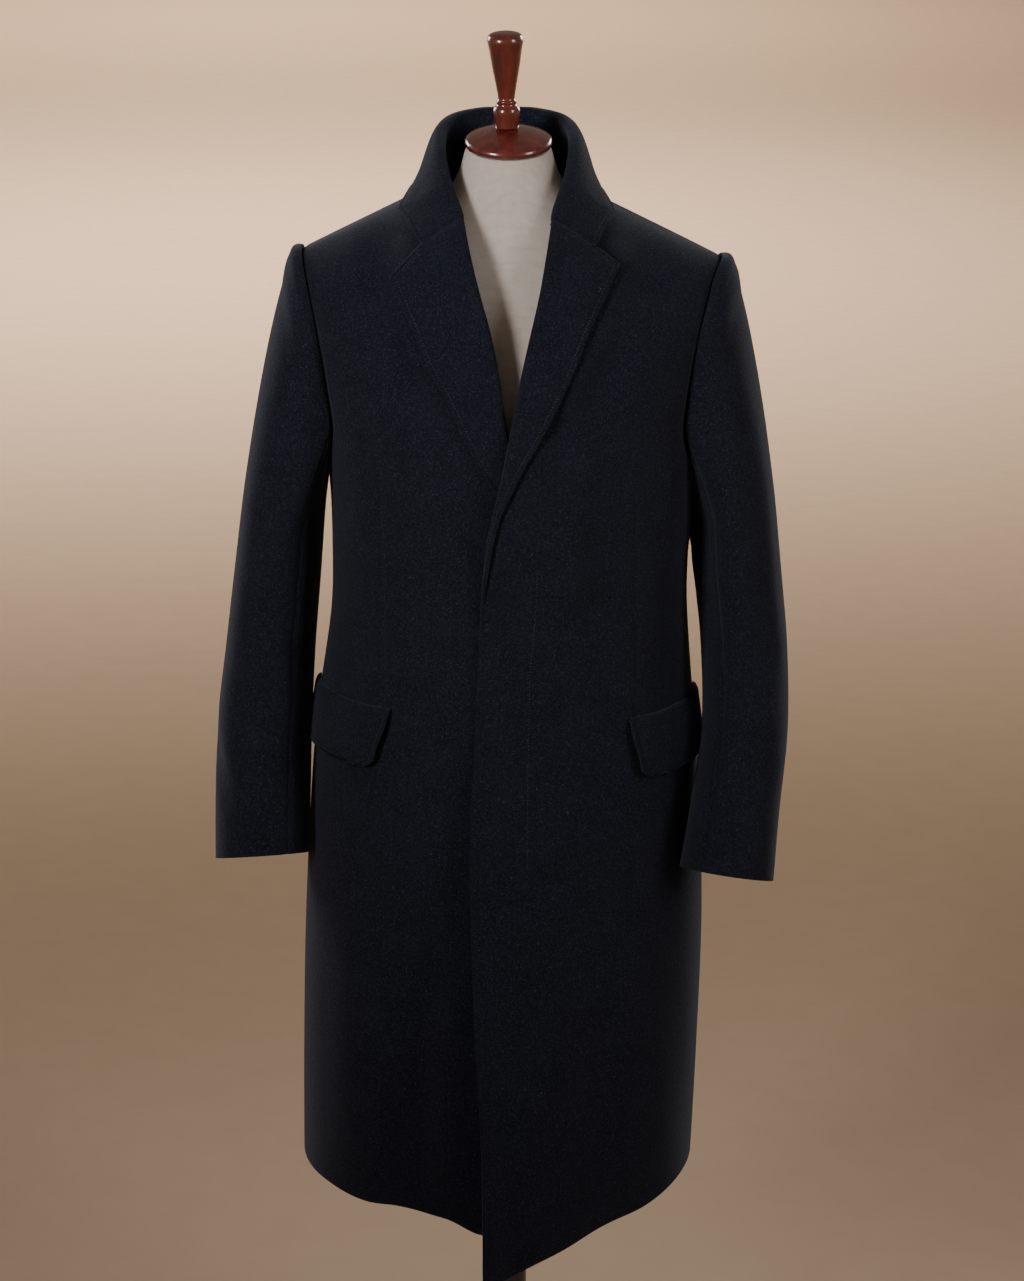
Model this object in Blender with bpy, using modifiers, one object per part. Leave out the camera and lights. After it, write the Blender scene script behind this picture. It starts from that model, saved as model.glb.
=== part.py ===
"""A wool overcoat hanging on a limbless dress form with a pole stand.

Metres, +Z up, floor at height 0 under the middle of the base.  The coat's front faces -Y, so
the wearer's right is at -X and the wearer's left, which laps over, is at +X.
"""
import math

import bmesh
import bpy
from mathutils import Vector

# ---------------------------------------------------------------- driving sizes
CLOTH_WALL = 0.003          # heavy melton with its canvas
SEAM_GAP = 0.0003           # between pieces that are sewn edge to edge
PANEL_COLUMNS = 9           # points across each front and back
SEAM_Y = 0.005              # side seams and shoulder seams lie in this plane
SECTION_POWER = 2.4         # roundness of a section: 2 is an ellipse, more is squarer
ARMPIT_HEIGHT = 1.20
SHOULDER_SLOPE = 0.48       # rise of the shoulder seam for each metre towards the neck
SHOULDER_ROLL = 0.17        # drop over which the shoulder turns into the upright chest
NECK_POINT_X = 0.088        # where the shoulder seam meets the collar
NECK_ROUND = 0.045          # half width of the rounding behind the neck
HEM_HEIGHT = 0.436
BACK_NECK_HEIGHT = 1.503
COLLAR_MIDDLE_X = -0.005    # the collar sits a little to the wearer's right
LEAF_ROWS = 6
STAND_ROWS = 4
ROLL_THICKNESS = 0.0045     # from the collar's crest to the outside of its stand
VENT_UNDERLAP = 0.045
BASE_RADIUS = 0.20
POLE_RADIUS = 0.016
POLE_FOOT = 0.047
TORSO_BOTTOM = 0.80
NECK_TOP_HEIGHT = 1.538
NECK_TILT = 0.22            # the neck's top falls this much towards the front for each metre
NECK_X = -0.0035
CAP_RADIUS = 0.0445
FINIAL_OFFSET_X = -0.0015
FINIAL_TILT = math.radians(6)
FINIAL_LEAN = math.radians(-1.2)
TURNED_STEPS = 28

RIGHT, LEFT = -1, 1
FRONT, BACK = -1, 1

SHOULDER_POINT = {           # side: (half width, height) where the sleeve head starts
    RIGHT: (0.213, 1.436),
    LEFT: (0.214, 1.427),
}

BODY_SECTIONS = [            # one row for each level of the coat's body
    # height, right half width, left half width, front depth, back depth
    (0.390, 0.2320, 0.1970, 0.171, 0.141),
    (0.560, 0.2290, 0.2030, 0.169, 0.138),
    (0.720, 0.2235, 0.2060, 0.167, 0.135),
    (0.883, 0.2130, 0.1995, 0.163, 0.130),
    (0.970, 0.2030, 0.1915, 0.157, 0.118),
    (1.060, 0.1900, 0.1845, 0.151, 0.101),
    (1.130, 0.1880, 0.1840, 0.152, 0.106),
    (1.200, 0.1900, 0.1860, 0.154, 0.118),
    (1.270, 0.2000, 0.1915, 0.152, 0.126),
    (1.335, 0.2150, 0.2065, 0.148, 0.126),
    (1.400, 0.2375, 0.2320, 0.144, 0.121),
    (1.436, 0.2500, 0.2510, 0.142, 0.118),
    (1.540, 0.2620, 0.2620, 0.140, 0.115),
]
HEIGHT, RIGHT_HALF, LEFT_HALF, FRONT_DEPTH, BACK_DEPTH = range(5)

LOWER_ROWS = [               # rows of the fronts and backs below the armpit
    # side height, front edge height, left edge x, right edge x, vent edge x
    (HEM_HEIGHT, None, -0.0300, 0.0450, VENT_UNDERLAP),
    (0.480, 0.480, -0.0305, 0.0450, VENT_UNDERLAP),
    (0.550, 0.550, -0.0325, 0.0450, VENT_UNDERLAP),
    (0.640, 0.640, -0.0378, 0.0450, VENT_UNDERLAP),
    (0.730, 0.730, -0.0412, 0.0450, VENT_UNDERLAP),
    (0.820, 0.820, -0.0430, 0.0450, VENT_UNDERLAP),
    (0.900, 0.900, -0.0410, 0.0450, 0.0),
    (0.960, 0.960, -0.0378, 0.0450, 0.0),
    (1.020, 1.020, -0.0352, 0.0450, 0.0),
    (1.075, 1.080, -0.0325, 0.0440, 0.0),
    (1.120, 1.130, -0.0291, 0.0330, 0.0),
    (1.160, 1.170, -0.0245, 0.0210, 0.0),
]
SIDE_HEIGHT, EDGE_HEIGHT, LEFT_EDGE_X, RIGHT_EDGE_X, VENT_X = range(5)
FRONT_HEM_CORNER = {LEFT: 0.384, RIGHT: 0.415}

UPPER_ROWS = [               # rows from the armpit up to the shoulder seam
    # rise up the armhole, front and back share of the half width there,
    # left edge x and height, right edge x and height, centre back x and height
    (0.00, 1.000, 1.000, -0.0155, 1.210, 0.0100, 1.210, 0.000, 1.210),
    (0.05, 0.993, 0.993, -0.0080, 1.245, 0.0020, 1.245, 0.000, 1.245),
    (0.14, 0.962, 0.966, 0.0005, 1.290, -0.0065, 1.290, 0.000, 1.290),
    (0.26, 0.917, 0.938, 0.0093, 1.335, -0.0128, 1.335, 0.000, 1.340),
    (0.42, 0.905, 0.922, 0.0185, 1.375, -0.0209, 1.375, 0.000, 1.390),
    (0.59, 0.890, 0.905, 0.0268, 1.410, -0.0310, 1.410, 0.000, 1.435),
    (0.74, 0.873, 0.885, 0.0325, 1.440, -0.0390, 1.440, 0.000, 1.473),
    (0.86, 0.863, 0.868, 0.0386, 1.474, -0.0474, 1.477, 0.000, BACK_NECK_HEIGHT),
    (0.94, 0.856, 0.858, 0.0620, 1.482, -0.0670, 1.488, 0.050, 1.497),
    (1.00, None, None, None, None, None, None, None, None),
]
RISE, FRONT_SHARE, BACK_SHARE, LEFT_X, LEFT_Z, RIGHT_X, RIGHT_Z, CENTRE_X, CENTRE_Z = range(9)

FRONT_SWING = [              # how far the front edges swing forward, down to the hem
    # height, left, right
    (0.390, 0.080, 0.014),
    (0.470, 0.066, 0.010),
    (0.550, 0.053, 0.007),
    (0.640, 0.039, 0.004),
    (0.730, 0.026, 0.002),
    (0.820, 0.014, 0.0),
    (0.900, 0.006, 0.0),
    (0.960, 0.0, 0.0),
    (1.540, 0.0, 0.0),
]
OVERLAP_PUSH = [             # how far the left front is lifted by what lies under its edge
    # height, lift
    (0.390, 0.0050),
    (1.080, 0.0050),
    (1.140, 0.0098),
    (1.300, 0.0098),
    (1.370, 0.0035),
    (1.430, 0.0),
    (1.540, 0.0),
]
OVERLAP_FADE = (0.055, 0.100)    # the lift fades out between these distances from the middle
VENT_PUSH = [                # the same for the left back over the vent's underlap
    (0.390, 0.0050),
    (0.900, 0.0050),
    (0.960, 0.0),
    (1.540, 0.0),
]

SLEEVE_SECTIONS = {          # one row for each ring of a sleeve below the armpit
    # height, centre x (outwards), centre y, half width, half depth, lean out, lean forward
    RIGHT: [
        (1.157, 0.2395, 0.003, 0.0440, 0.083, 0.00, 0.00),
        (1.085, 0.2475, 0.004, 0.0460, 0.078, 0.02, 0.02),
        (1.017, 0.2550, -0.001, 0.0475, 0.072, 0.04, 0.05),
        (0.940, 0.2620, -0.014, 0.0500, 0.065, 0.05, 0.12),
        (0.860, 0.2645, -0.035, 0.0505, 0.058, 0.06, 0.24),
        (0.795, 0.2654, -0.054, 0.0498, 0.051, 0.07, 0.34),
    ],
    LEFT: [
        (1.157, 0.2325, 0.002, 0.0440, 0.083, 0.00, 0.00),
        (1.095, 0.2370, -0.003, 0.0460, 0.079, 0.02, 0.04),
        (1.020, 0.2440, -0.020, 0.0455, 0.072, 0.04, 0.10),
        (0.940, 0.2440, -0.056, 0.0450, 0.065, 0.05, 0.18),
        (0.860, 0.2325, -0.093, 0.0465, 0.057, 0.08, 0.26),
        (0.798, 0.2240, -0.115, 0.0492, 0.050, 0.16, 0.30),
    ],
}
RING_Z, RING_X, RING_Y, RING_HALF, RING_DEPTH, LEAN_OUT, LEAN_FORWARD = range(7)
SLEEVE_HEAD_STEPS = 6        # bands between the armhole and the first ring
SLEEVE_HEAD_CLEAR = 0.0006   # from the armhole's edge out to the sleeve
SLEEVE_HEAD_ROPE = 0.24      # how strongly the head leaves the armhole outwards
SLEEVE_HEAD_DROP = 0.85      # how strongly it arrives along the arm
SLEEVE_HEAD_CROWD = 1.25     # over 1 crowds its bands towards the armhole
FOREARM_SEAM, HIND_SEAM = 6, 12      # columns of the sleeve, counted from its top round the front

LAPEL_ROWS = {               # one row for each line across a lapel, from the break up
    # height on the roll line, height and x of the outer edge
    LEFT: [
        (1.147, 1.1470, -0.0215),
        (1.175, 1.1700, -0.0185),
        (1.205, 1.1950, -0.0115),
        (1.235, 1.2150, -0.0010),
        (1.270, 1.2394, 0.0109),
        (1.305, 1.2804, 0.0336),
        (1.340, 1.3237, 0.0552),
        (1.375, 1.3661, 0.0718),
        (1.405, 1.3934, 0.0857),
        (1.435, 1.4310, 0.1050),
        (1.470, 1.4475, 0.0840),
    ],
    RIGHT: [
        (1.205, 1.1900, -0.0040),
        (1.235, 1.2150, -0.0169),
        (1.275, 1.2582, -0.0416),
        (1.310, 1.3027, -0.0622),
        (1.340, 1.3369, -0.0808),
        (1.385, 1.3820, -0.1005),
        (1.430, 1.4205, -0.1195),
        (1.473, 1.4500, -0.0905),
    ],
}
LAPEL_COLUMNS = 5
LAPEL_LIFT = 0.0046          # outside of a lapel over the outside of its front
LAPEL_BULGE = 0.0012         # more lift at the roll line

COLLAR_STATIONS = [          # from the centre back round to the gorge; x from the collar's middle
    # crest x, y, height; neck seam x, y; fall edge x, y
    (0.000, 0.088, 1.566, 0.000, 0.066, 0.0000, 0.0820),
    (0.030, 0.084, 1.566, 0.032, 0.062, 0.0400, 0.0810),
    (0.055, 0.064, 1.563, 0.060, 0.047, 0.0710, 0.0670),
    (0.067, 0.034, 1.556, 0.078, 0.027, 0.0895, 0.0460),
    (0.069, 0.002, 1.544, 0.083, 0.002, 0.0945, 0.0160),
    (0.066, -0.028, 1.527, 0.078, -0.026, 0.1005, -0.0120),
    (0.0585, -0.056, 1.506, 0.066, -0.050, 0.1080, -0.0365),
    (0.050, -0.072, 1.490, 0.055, -0.066, 0.0970, -0.0620),
    (0.043, -0.083, 1.4805, 0.045, -0.080, 0.0860, -0.0830),
]
CREST_X, CREST_Y, CREST_Z, SEAM_X, SEAM_IN_Y, FALL_X, FALL_Y = range(7)
LEAF_ROLL = 0.16             # how far the leaf carries on outwards from its crest
LEAF_HANG = 0.30             # how far it hangs straight above its fall edge
LEAF_BELLY = 0.03            # how far it bows out; all three for each metre of its depth
LEAF_LIFT = 0.0062           # outside of the fall edge over the shoulder
STAND_FOOT_IN = 0.0060       # the stand's foot, in from the neck seam and over it
STAND_FOOT_UP = 0.0064

FLAPS = {                    # side: top height, bottom height, front corner x at top and bottom
    RIGHT: (0.983, 0.920, 0.1235, 0.1385),
    LEFT: (0.973, 0.910, 0.1185, 0.1280),
}
FLAP_COLUMNS = 7
FLAP_ROWS = 4
FLAP_LIFT = 0.0046
FLAP_FLARE = 0.005           # more lift at its free front corner
FLAP_END = 0.97              # share of the panel's width where the flap ends at the side
FLAP_SCAN = 20               # steps for each panel column when looking for its front corner

TORSO_SECTIONS = [           # the form, from its underside to the neck
    # height, half width, front depth, back depth
    (TORSO_BOTTOM, 0.150, 0.100, 0.100),
    (0.812, 0.162, 0.110, 0.109),
    (0.900, 0.170, 0.115, 0.115),
    (1.000, 0.158, 0.112, 0.098),
    (1.060, 0.150, 0.108, 0.086),
    (1.150, 0.157, 0.114, 0.093),
    (1.250, 0.168, 0.122, 0.106),
    (1.330, 0.176, 0.118, 0.111),
    (1.380, 0.180, 0.108, 0.106),
    (1.415, 0.181, 0.094, 0.095),
    (1.435, 0.168, 0.084, 0.086),
    (1.450, 0.143, 0.078, 0.080),
    (1.465, 0.112, 0.072, 0.074),
    (1.480, 0.082, 0.064, 0.066),
    (1.495, 0.062, 0.054, 0.055),
    (1.512, 0.051, 0.048, 0.048),
    (NECK_TOP_HEIGHT, 0.0425, 0.0425, 0.0425),
]
TORSO_COLUMNS = 28
TORSO_POWER = 2.2

CAP_PROFILE = [              # radius, height over the neck's top
    (0.0, 0.0180), (0.0140, 0.0172), (0.0300, 0.0128), (0.0405, 0.0095),
    (CAP_RADIUS, 0.0060), (CAP_RADIUS - 0.0006, 0.0020), (CAP_RADIUS - 0.0025, 0.0),
    (0.0, 0.0),
]
FINIAL_PROFILE = [           # radius, height over its foot
    (0.0, 0.0955), (0.0080, 0.0948), (0.0145, 0.0922), (0.0178, 0.0888), (0.0182, 0.0860),
    (0.0166, 0.0780), (0.0132, 0.0560), (0.0100, 0.0380), (0.0086, 0.0285), (0.0102, 0.0262),
    (0.0098, 0.0238), (0.0128, 0.0190), (0.0135, 0.0150), (0.0122, 0.0040), (0.0118, 0.0),
    (0.0, 0.0),
]
POLE_PROFILE = [
    (0.0, TORSO_BOTTOM - SEAM_GAP), (0.038, TORSO_BOTTOM - SEAM_GAP), (0.038, TORSO_BOTTOM - 0.008),
    (0.024, TORSO_BOTTOM - 0.014), (POLE_RADIUS + 0.003, TORSO_BOTTOM - 0.060),
    (POLE_RADIUS, TORSO_BOTTOM - 0.066), (POLE_RADIUS, POLE_FOOT), (0.0, POLE_FOOT),
]
BASE_PROFILE = [
    (0.0, POLE_FOOT - SEAM_GAP), (0.028, POLE_FOOT - SEAM_GAP), (0.033, 0.042), (0.045, 0.034),
    (0.110, 0.024), (0.185, 0.018), (0.196, 0.014), (BASE_RADIUS, 0.008), (BASE_RADIUS, 0.0),
    (0.0, 0.0),
]

WOOL = ("navy_wool", (0.012, 0.015, 0.024), 0.85, 0.0)
WOOL_UNDER = ("navy_wool_underside", (0.010, 0.012, 0.020), 0.9, 0.0)
FORM_CLOTH = ("cream_cloth", (0.72, 0.66, 0.56), 0.85, 0.0)
MAHOGANY = ("mahogany", (0.13, 0.022, 0.012), 0.28, 0.0)
BLACK_METAL = ("black_metal", (0.02, 0.02, 0.02), 0.4, 0.6)


# ---------------------------------------------------------------- reading the tables
def read(table, at, column):
    """The column's value at a height, on a smooth curve through the table's rows."""
    places = [row[0] for row in table]
    if at <= places[0]:
        return table[0][column]
    if at >= places[-1]:
        return table[-1][column]
    upper = next(i for i, place in enumerate(places) if place >= at)
    lower = upper - 1

    def slope(i):
        low, high = max(i - 1, 0), min(i + 1, len(table) - 1)
        return (table[high][column] - table[low][column]) / (places[high] - places[low])

    gap = places[upper] - places[lower]
    t = (at - places[lower]) / gap
    start, end = table[lower][column], table[upper][column]
    return ((2 * t**3 - 3 * t**2 + 1) * start + (t**3 - 2 * t**2 + t) * gap * slope(lower)
            + (3 * t**2 - 2 * t**3) * end + (t**3 - t**2) * gap * slope(upper))


def ease(low, high, value):
    """0 up to low, 1 from high on, with a smooth step between."""
    t = min(max((value - low) / (high - low), 0.0), 1.0)
    return t * t * (3 - 2 * t)


# ---------------------------------------------------------------- the coat's body
def half_width(side, z):
    return read(BODY_SECTIONS, z, RIGHT_HALF if side == RIGHT else LEFT_HALF)


def shoulder_line(x):
    """Height of the shoulder seam's line at x, rounded over behind the neck."""
    out = abs(x)
    if out < NECK_ROUND:
        out = out * out / (2 * NECK_ROUND) + NECK_ROUND / 2
    right, left = (height + (reach - out) * SHOULDER_SLOPE
                   for reach, height in (SHOULDER_POINT[RIGHT], SHOULDER_POINT[LEFT]))
    return right + (left - right) * ease(-NECK_POINT_X, NECK_POINT_X, x)


def roundness(share):
    return max(1.0 - min(abs(share), 1.0) ** SECTION_POWER, 0.0) ** (1 / SECTION_POWER)


def body_y(x, z, face):
    """The body's y at a place seen from the front or the back."""
    depth = read(BODY_SECTIONS, z, FRONT_DEPTH if face == FRONT else BACK_DEPTH)
    share = x / half_width(RIGHT if x < 0 else LEFT, z)
    drop = min(max(shoulder_line(x) - z, 0.0) / SHOULDER_ROLL, 1.0)
    return SEAM_Y + face * depth * roundness(share) * math.sqrt(1 - (1 - drop) ** 2)


def shoulder_top(x, y):
    """The body's height over a place near the neck."""
    face = FRONT if y < SEAM_Y else BACK
    z = shoulder_line(x)
    depth = read(BODY_SECTIONS, z, FRONT_DEPTH if face == FRONT else BACK_DEPTH)
    reach = abs(y - SEAM_Y) / (depth * roundness(x / half_width(RIGHT if x < 0 else LEFT, z)))
    return z - SHOULDER_ROLL * (1 - math.sqrt(1 - min(reach, 0.999) ** 2))


def body_normal(point):
    """Outward normal on a seam, where the pieces on both sides share it."""
    x, z = point.x, point.z
    side = RIGHT if x < 0 else LEFT
    step = 0.002
    if shoulder_line(x) - z < SHOULDER_ROLL * 0.5:
        return Vector((side * SHOULDER_SLOPE, 0.0, 1.0)).normalized()
    grow = (half_width(side, z + step) - half_width(side, z - step)) / (2 * step)
    return Vector((side, 0.0, -grow)).normalized()


def front_lift(side, x, z, inward):
    """How far a front stands out of the body's surface: its swing and its overlap."""
    swing = read(FRONT_SWING, z, 1 if side == LEFT else 2) * inward ** 2
    if side == RIGHT:
        return swing
    return swing + read(OVERLAP_PUSH, z, 1) * (1 - ease(*OVERLAP_FADE, x))


def upper_row(row, side):
    """Side height, front edge and centre back of a row over the armpit."""
    reach, top = SHOULDER_POINT[side]
    side_z = ARMPIT_HEIGHT + row[RISE] * (top - ARMPIT_HEIGHT)
    if row[LEFT_X] is None:
        neck = (side * NECK_POINT_X, shoulder_line(side * NECK_POINT_X))
        return side_z, neck, neck
    edge = (row[LEFT_X], row[LEFT_Z]) if side == LEFT else (row[RIGHT_X], row[RIGHT_Z])
    return side_z, edge, (side * row[CENTRE_X], row[CENTRE_Z])


def panel_line(start, side_z, share, side, face, columns):
    """Points across a panel at one row, from its inner edge to the side."""
    start_x, start_z = start
    reach = half_width(side, side_z)
    end_x = side * share * reach
    first = math.asin(start_x / reach)
    last = math.asin(max(min(end_x / reach, 1.0), -1.0))
    points = []
    for column in range(columns):
        t = column / (columns - 1)
        x = reach * math.sin(first + (last - first) * t)
        along = (x - start_x) / (end_x - start_x)
        z = start_z + (side_z - start_z) * along
        y = body_y(x, z, face)
        if share == 1.0 and column == columns - 1:
            y = SEAM_Y
        points.append([x, y, z, 1 - along])
    return points


def front_grid(side):
    rows = []
    for row in LOWER_ROWS:
        edge_z = row[EDGE_HEIGHT] or FRONT_HEM_CORNER[side]
        edge_x = row[LEFT_EDGE_X] if side == LEFT else row[RIGHT_EDGE_X]
        rows.append(panel_line((edge_x, edge_z), row[SIDE_HEIGHT], 1.0, side, FRONT, PANEL_COLUMNS))
    for row in UPPER_ROWS:
        side_z, edge, _ = upper_row(row, side)
        share = row[FRONT_SHARE] or SHOULDER_POINT[side][0] / half_width(side, side_z)
        rows.append(panel_line(edge, side_z, share, side, FRONT, PANEL_COLUMNS))
    return [[Vector((x, y - front_lift(side, x, z, inward), z)) for x, y, z, inward in row]
            for row in rows]


def back_grid(side):
    rows = []
    for row in LOWER_ROWS:
        inner_x = row[VENT_X] if side == RIGHT else 0.0
        rows.append(panel_line((inner_x, row[SIDE_HEIGHT]), row[SIDE_HEIGHT], 1.0, side, BACK,
                               PANEL_COLUMNS))
    for row in UPPER_ROWS:
        side_z, _, centre = upper_row(row, side)
        share = row[BACK_SHARE] or SHOULDER_POINT[side][0] / half_width(side, side_z)
        rows.append(panel_line(centre, side_z, share, side, BACK, PANEL_COLUMNS))
    lift = VENT_PUSH if side == LEFT else [(HEM_HEIGHT, 0.0)]
    return [[Vector((x, y + read(lift, z, 1) * (1 - ease(*OVERLAP_FADE, x)), z))
             for x, y, z, _ in row] for row in rows]


# ---------------------------------------------------------------- cloth walls
def grid_normals(grid, outward, closed=False):
    """Outward normals of a grid of points; closed grids wrap round their columns."""
    rows, columns = len(grid), len(grid[0])
    normals = []
    for i in range(rows):
        line = []
        for j in range(columns):
            if closed:
                across = grid[i][(j + 1) % columns] - grid[i][j - 1]
            else:
                across = grid[i][min(j + 1, columns - 1)] - grid[i][max(j - 1, 0)]
            along = grid[min(i + 1, rows - 1)][j] - grid[max(i - 1, 0)][j]
            line.append(across.cross(along).normalized() * outward)
        normals.append(line)
    return normals


def trim_column(grid, column, inner, gap):
    """Moves an edge column towards the next one in, by a seam's gap."""
    for row in grid:
        row[column] = row[column] + (row[inner] - row[column]).normalized() * gap


def trim_row(grid, row, inner, gap):
    grid[row] = [a + (b - a).normalized() * gap for a, b in zip(grid[row], grid[inner])]


def inner_side(grid, normals, wall=CLOTH_WALL):
    return [[point - normal * wall for point, normal in zip(points, across)]
            for points, across in zip(grid, normals)]


def cloth_mesh(name, outer, inner, material):
    """A closed wall between an outer and an inner grid of the same size."""
    mesh = bmesh.new()
    rows, columns = len(outer), len(outer[0])
    skins = [[[mesh.verts.new(point) for point in row] for row in grid] for grid in (outer, inner)]
    for skin in skins:
        for i in range(rows - 1):
            for j in range(columns - 1):
                mesh.faces.new((skin[i][j], skin[i][j + 1], skin[i + 1][j + 1], skin[i + 1][j]))
    out, back = skins
    border = [(0, j) for j in range(columns)] + [(i, columns - 1) for i in range(1, rows)]
    border += [(rows - 1, j) for j in range(columns - 2, -1, -1)]
    border += [(i, 0) for i in range(rows - 2, 0, -1)]
    for (i, j), (k, m) in zip(border, border[1:] + border[:1]):
        mesh.faces.new((out[i][j], out[k][m], back[k][m], back[i][j]))
    bmesh.ops.triangulate(mesh, faces=mesh.faces[:])
    bmesh.ops.recalc_face_normals(mesh, faces=mesh.faces[:])
    return finish(name, mesh, material)


def finish(name, mesh, material):
    data = bpy.data.meshes.new(name)
    mesh.to_mesh(data)
    mesh.free()
    piece = bpy.data.objects.new(name, data)
    coat_collection().objects.link(piece)
    paint(piece, material)
    data.shade_smooth()
    data.set_sharp_from_angle(angle=math.radians(40))
    return piece


def coat_collection():
    name = "overcoat_on_form"
    if name not in bpy.data.collections:
        bpy.context.scene.collection.children.link(bpy.data.collections.new(name))
    return bpy.data.collections[name]


def paint(piece, finish_of):
    label, colour, roughness, metallic = finish_of
    material = bpy.data.materials.new(piece.name + "_" + label)
    material.use_nodes = True
    shader = material.node_tree.nodes["Principled BSDF"]
    shader.inputs["Base Color"].default_value = (*colour, 1.0)
    shader.inputs["Roughness"].default_value = roughness
    shader.inputs["Metallic"].default_value = metallic
    piece.data.materials.append(material)


# ---------------------------------------------------------------- the pieces of the coat
def make_front(side):
    grid = front_grid(side)
    normals = grid_normals(grid, side)
    share_seams(grid, normals)
    inner = inner_side(grid, normals)
    for skin in (grid, inner):
        trim_seams(skin)
    name = "front_left" if side == LEFT else "front_right"
    cloth_mesh(name, grid, inner, WOOL)


def make_back(side):
    grid = back_grid(side)
    normals = grid_normals(grid, -side)
    share_seams(grid, normals)
    for row, across in enumerate(normals):
        if row >= len(LOWER_ROWS) and abs(grid[row][0].x) < 0.001:
            across[0] = Vector((0.0, across[0].y, across[0].z)).normalized()
    inner = inner_side(grid, normals)
    for skin in (grid, inner):
        trim_seams(skin)
        trim_column(skin, 0, 1, SEAM_GAP / 2)
    name = "back_left" if side == LEFT else "back_right"
    cloth_mesh(name, grid, inner, WOOL)


def share_seams(grid, normals):
    """Gives the side seam and the shoulder seam the normals that both panels share."""
    for row in range(len(LOWER_ROWS) + 1):
        normals[row][-1] = body_normal(grid[row][-1])
    for column in range(PANEL_COLUMNS):
        normals[-1][column] = body_normal(grid[-1][column])


def trim_seams(skin):
    lower = skin[:len(LOWER_ROWS) + 1]
    trim_column(lower, -1, -2, SEAM_GAP / 2)
    trim_row(skin, -1, -2, SEAM_GAP / 2)


def armhole(side):
    """The armhole's edge from the shoulder point down the front, and up the back."""
    first = len(LOWER_ROWS)
    front = [row[-1] for row in front_grid(side)[first:]]
    back = [row[-1] for row in back_grid(side)[first:]]
    return front[::-1] + back[1:-1]


def sleeve_ring(row, side, turn):
    """A point of a sleeve ring; turn 0 is outwards and a quarter turn is forwards."""
    out = row[RING_HALF] * math.cos(turn)
    forward = row[RING_DEPTH] * math.sin(turn)
    z = row[RING_Z] - row[LEAN_OUT] * out + row[LEAN_FORWARD] * forward
    return Vector((side * (row[RING_X] + out), row[RING_Y] - forward, z))


def sleeve_grid(side):
    edge = armhole(side)
    columns = len(edge)
    steps = [(edge[(j + 1) % columns] - edge[j]).length for j in range(columns)]
    turns = [2 * math.pi * sum(steps[:j]) / sum(steps) for j in range(columns)]
    sections = SLEEVE_SECTIONS[side]
    rows = [[] for _ in range(SLEEVE_HEAD_STEPS)]
    for point, turn in zip(edge, turns):
        start = point + Vector((side * SLEEVE_HEAD_CLEAR, 0.0, 0.0))
        end = sleeve_ring(sections[0], side, turn)
        below = sleeve_ring(sections[1], side, turn)
        top = (1 + math.cos(turn)) / 2
        leave = Vector((side * (0.06 + 0.94 * top) * top ** 0.5, -0.25 * math.sin(turn),
                        0.28 * top**3 - (1 - top))).normalized()
        reach = (end - start).length
        leave = leave * reach * SLEEVE_HEAD_ROPE
        arrive = (below - end).normalized() * reach * SLEEVE_HEAD_DROP
        for step in range(SLEEVE_HEAD_STEPS):
            t = (step / SLEEVE_HEAD_STEPS) ** SLEEVE_HEAD_CROWD
            rows[step].append((2 * t**3 - 3 * t**2 + 1) * start + (t**3 - 2 * t**2 + t) * leave
                              + (3 * t**2 - 2 * t**3) * end + (t**3 - t**2) * arrive)
    rows += [[sleeve_ring(row, side, turn) for turn in turns] for row in sections]
    return rows


def make_sleeve(side):
    grid = sleeve_grid(side)
    normals = grid_normals(grid, side, closed=True)
    columns = len(grid[0])
    inner = inner_side(grid, normals)
    where = "left" if side == LEFT else "right"
    top = [j % columns for j in range(HIND_SEAM - columns, FOREARM_SEAM + 1)]
    under = list(range(FOREARM_SEAM, HIND_SEAM + 1))
    for name, chosen in (("sleeve_top_", top), ("sleeve_under_", under)):
        skins = [[[row[j] for j in chosen] for row in skin] for skin in (grid, inner)]
        for skin in skins:
            trim_column(skin, 0, 1, SEAM_GAP / 2)
            trim_column(skin, -1, -2, SEAM_GAP / 2)
        cloth_mesh(name + where, *skins, WOOL)


def front_edge_x(side, z):
    """X of the roll line of a front at a height."""
    rows = [(row[EDGE_HEIGHT], row[LEFT_EDGE_X] if side == LEFT else row[RIGHT_EDGE_X])
            for row in LOWER_ROWS[1:]]
    rows += [upper_row(row, side)[1][::-1] for row in UPPER_ROWS[:-2]]
    return read(rows, z, 1)


def on_front(side, x, z, lift):
    """A point over a front's outside, and the front's normal there."""
    def surface(u, w):
        edge = front_edge_x(side, w)
        inward = 1 - (u - edge) / (side * half_width(side, w) - edge)
        return Vector((u, body_y(u, w, FRONT) - front_lift(side, u, w, inward), w))
    step = 0.004
    across = surface(x + step, z) - surface(x - step, z)
    along = surface(x, z + step) - surface(x, z - step)
    normal = across.cross(along).normalized()
    return surface(x, z) + normal * lift, normal


def make_lapel(side):
    grid, normals = [], []
    for roll_z, edge_z, edge_x in LAPEL_ROWS[side]:
        roll_x = front_edge_x(side, roll_z)
        line, across = [], []
        for column in range(LAPEL_COLUMNS):
            t = column / (LAPEL_COLUMNS - 1)
            lift = LAPEL_LIFT + LAPEL_BULGE * (1 - t) ** 2
            point, normal = on_front(side, roll_x + (edge_x - roll_x) * t,
                                     roll_z + (edge_z - roll_z) * t, lift)
            line.append(point)
            across.append(normal)
        grid.append(line)
        normals.append(across)
    name = "lapel_left" if side == LEFT else "lapel_right"
    cloth_mesh(name, grid, inner_side(grid, normals), WOOL)


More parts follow.
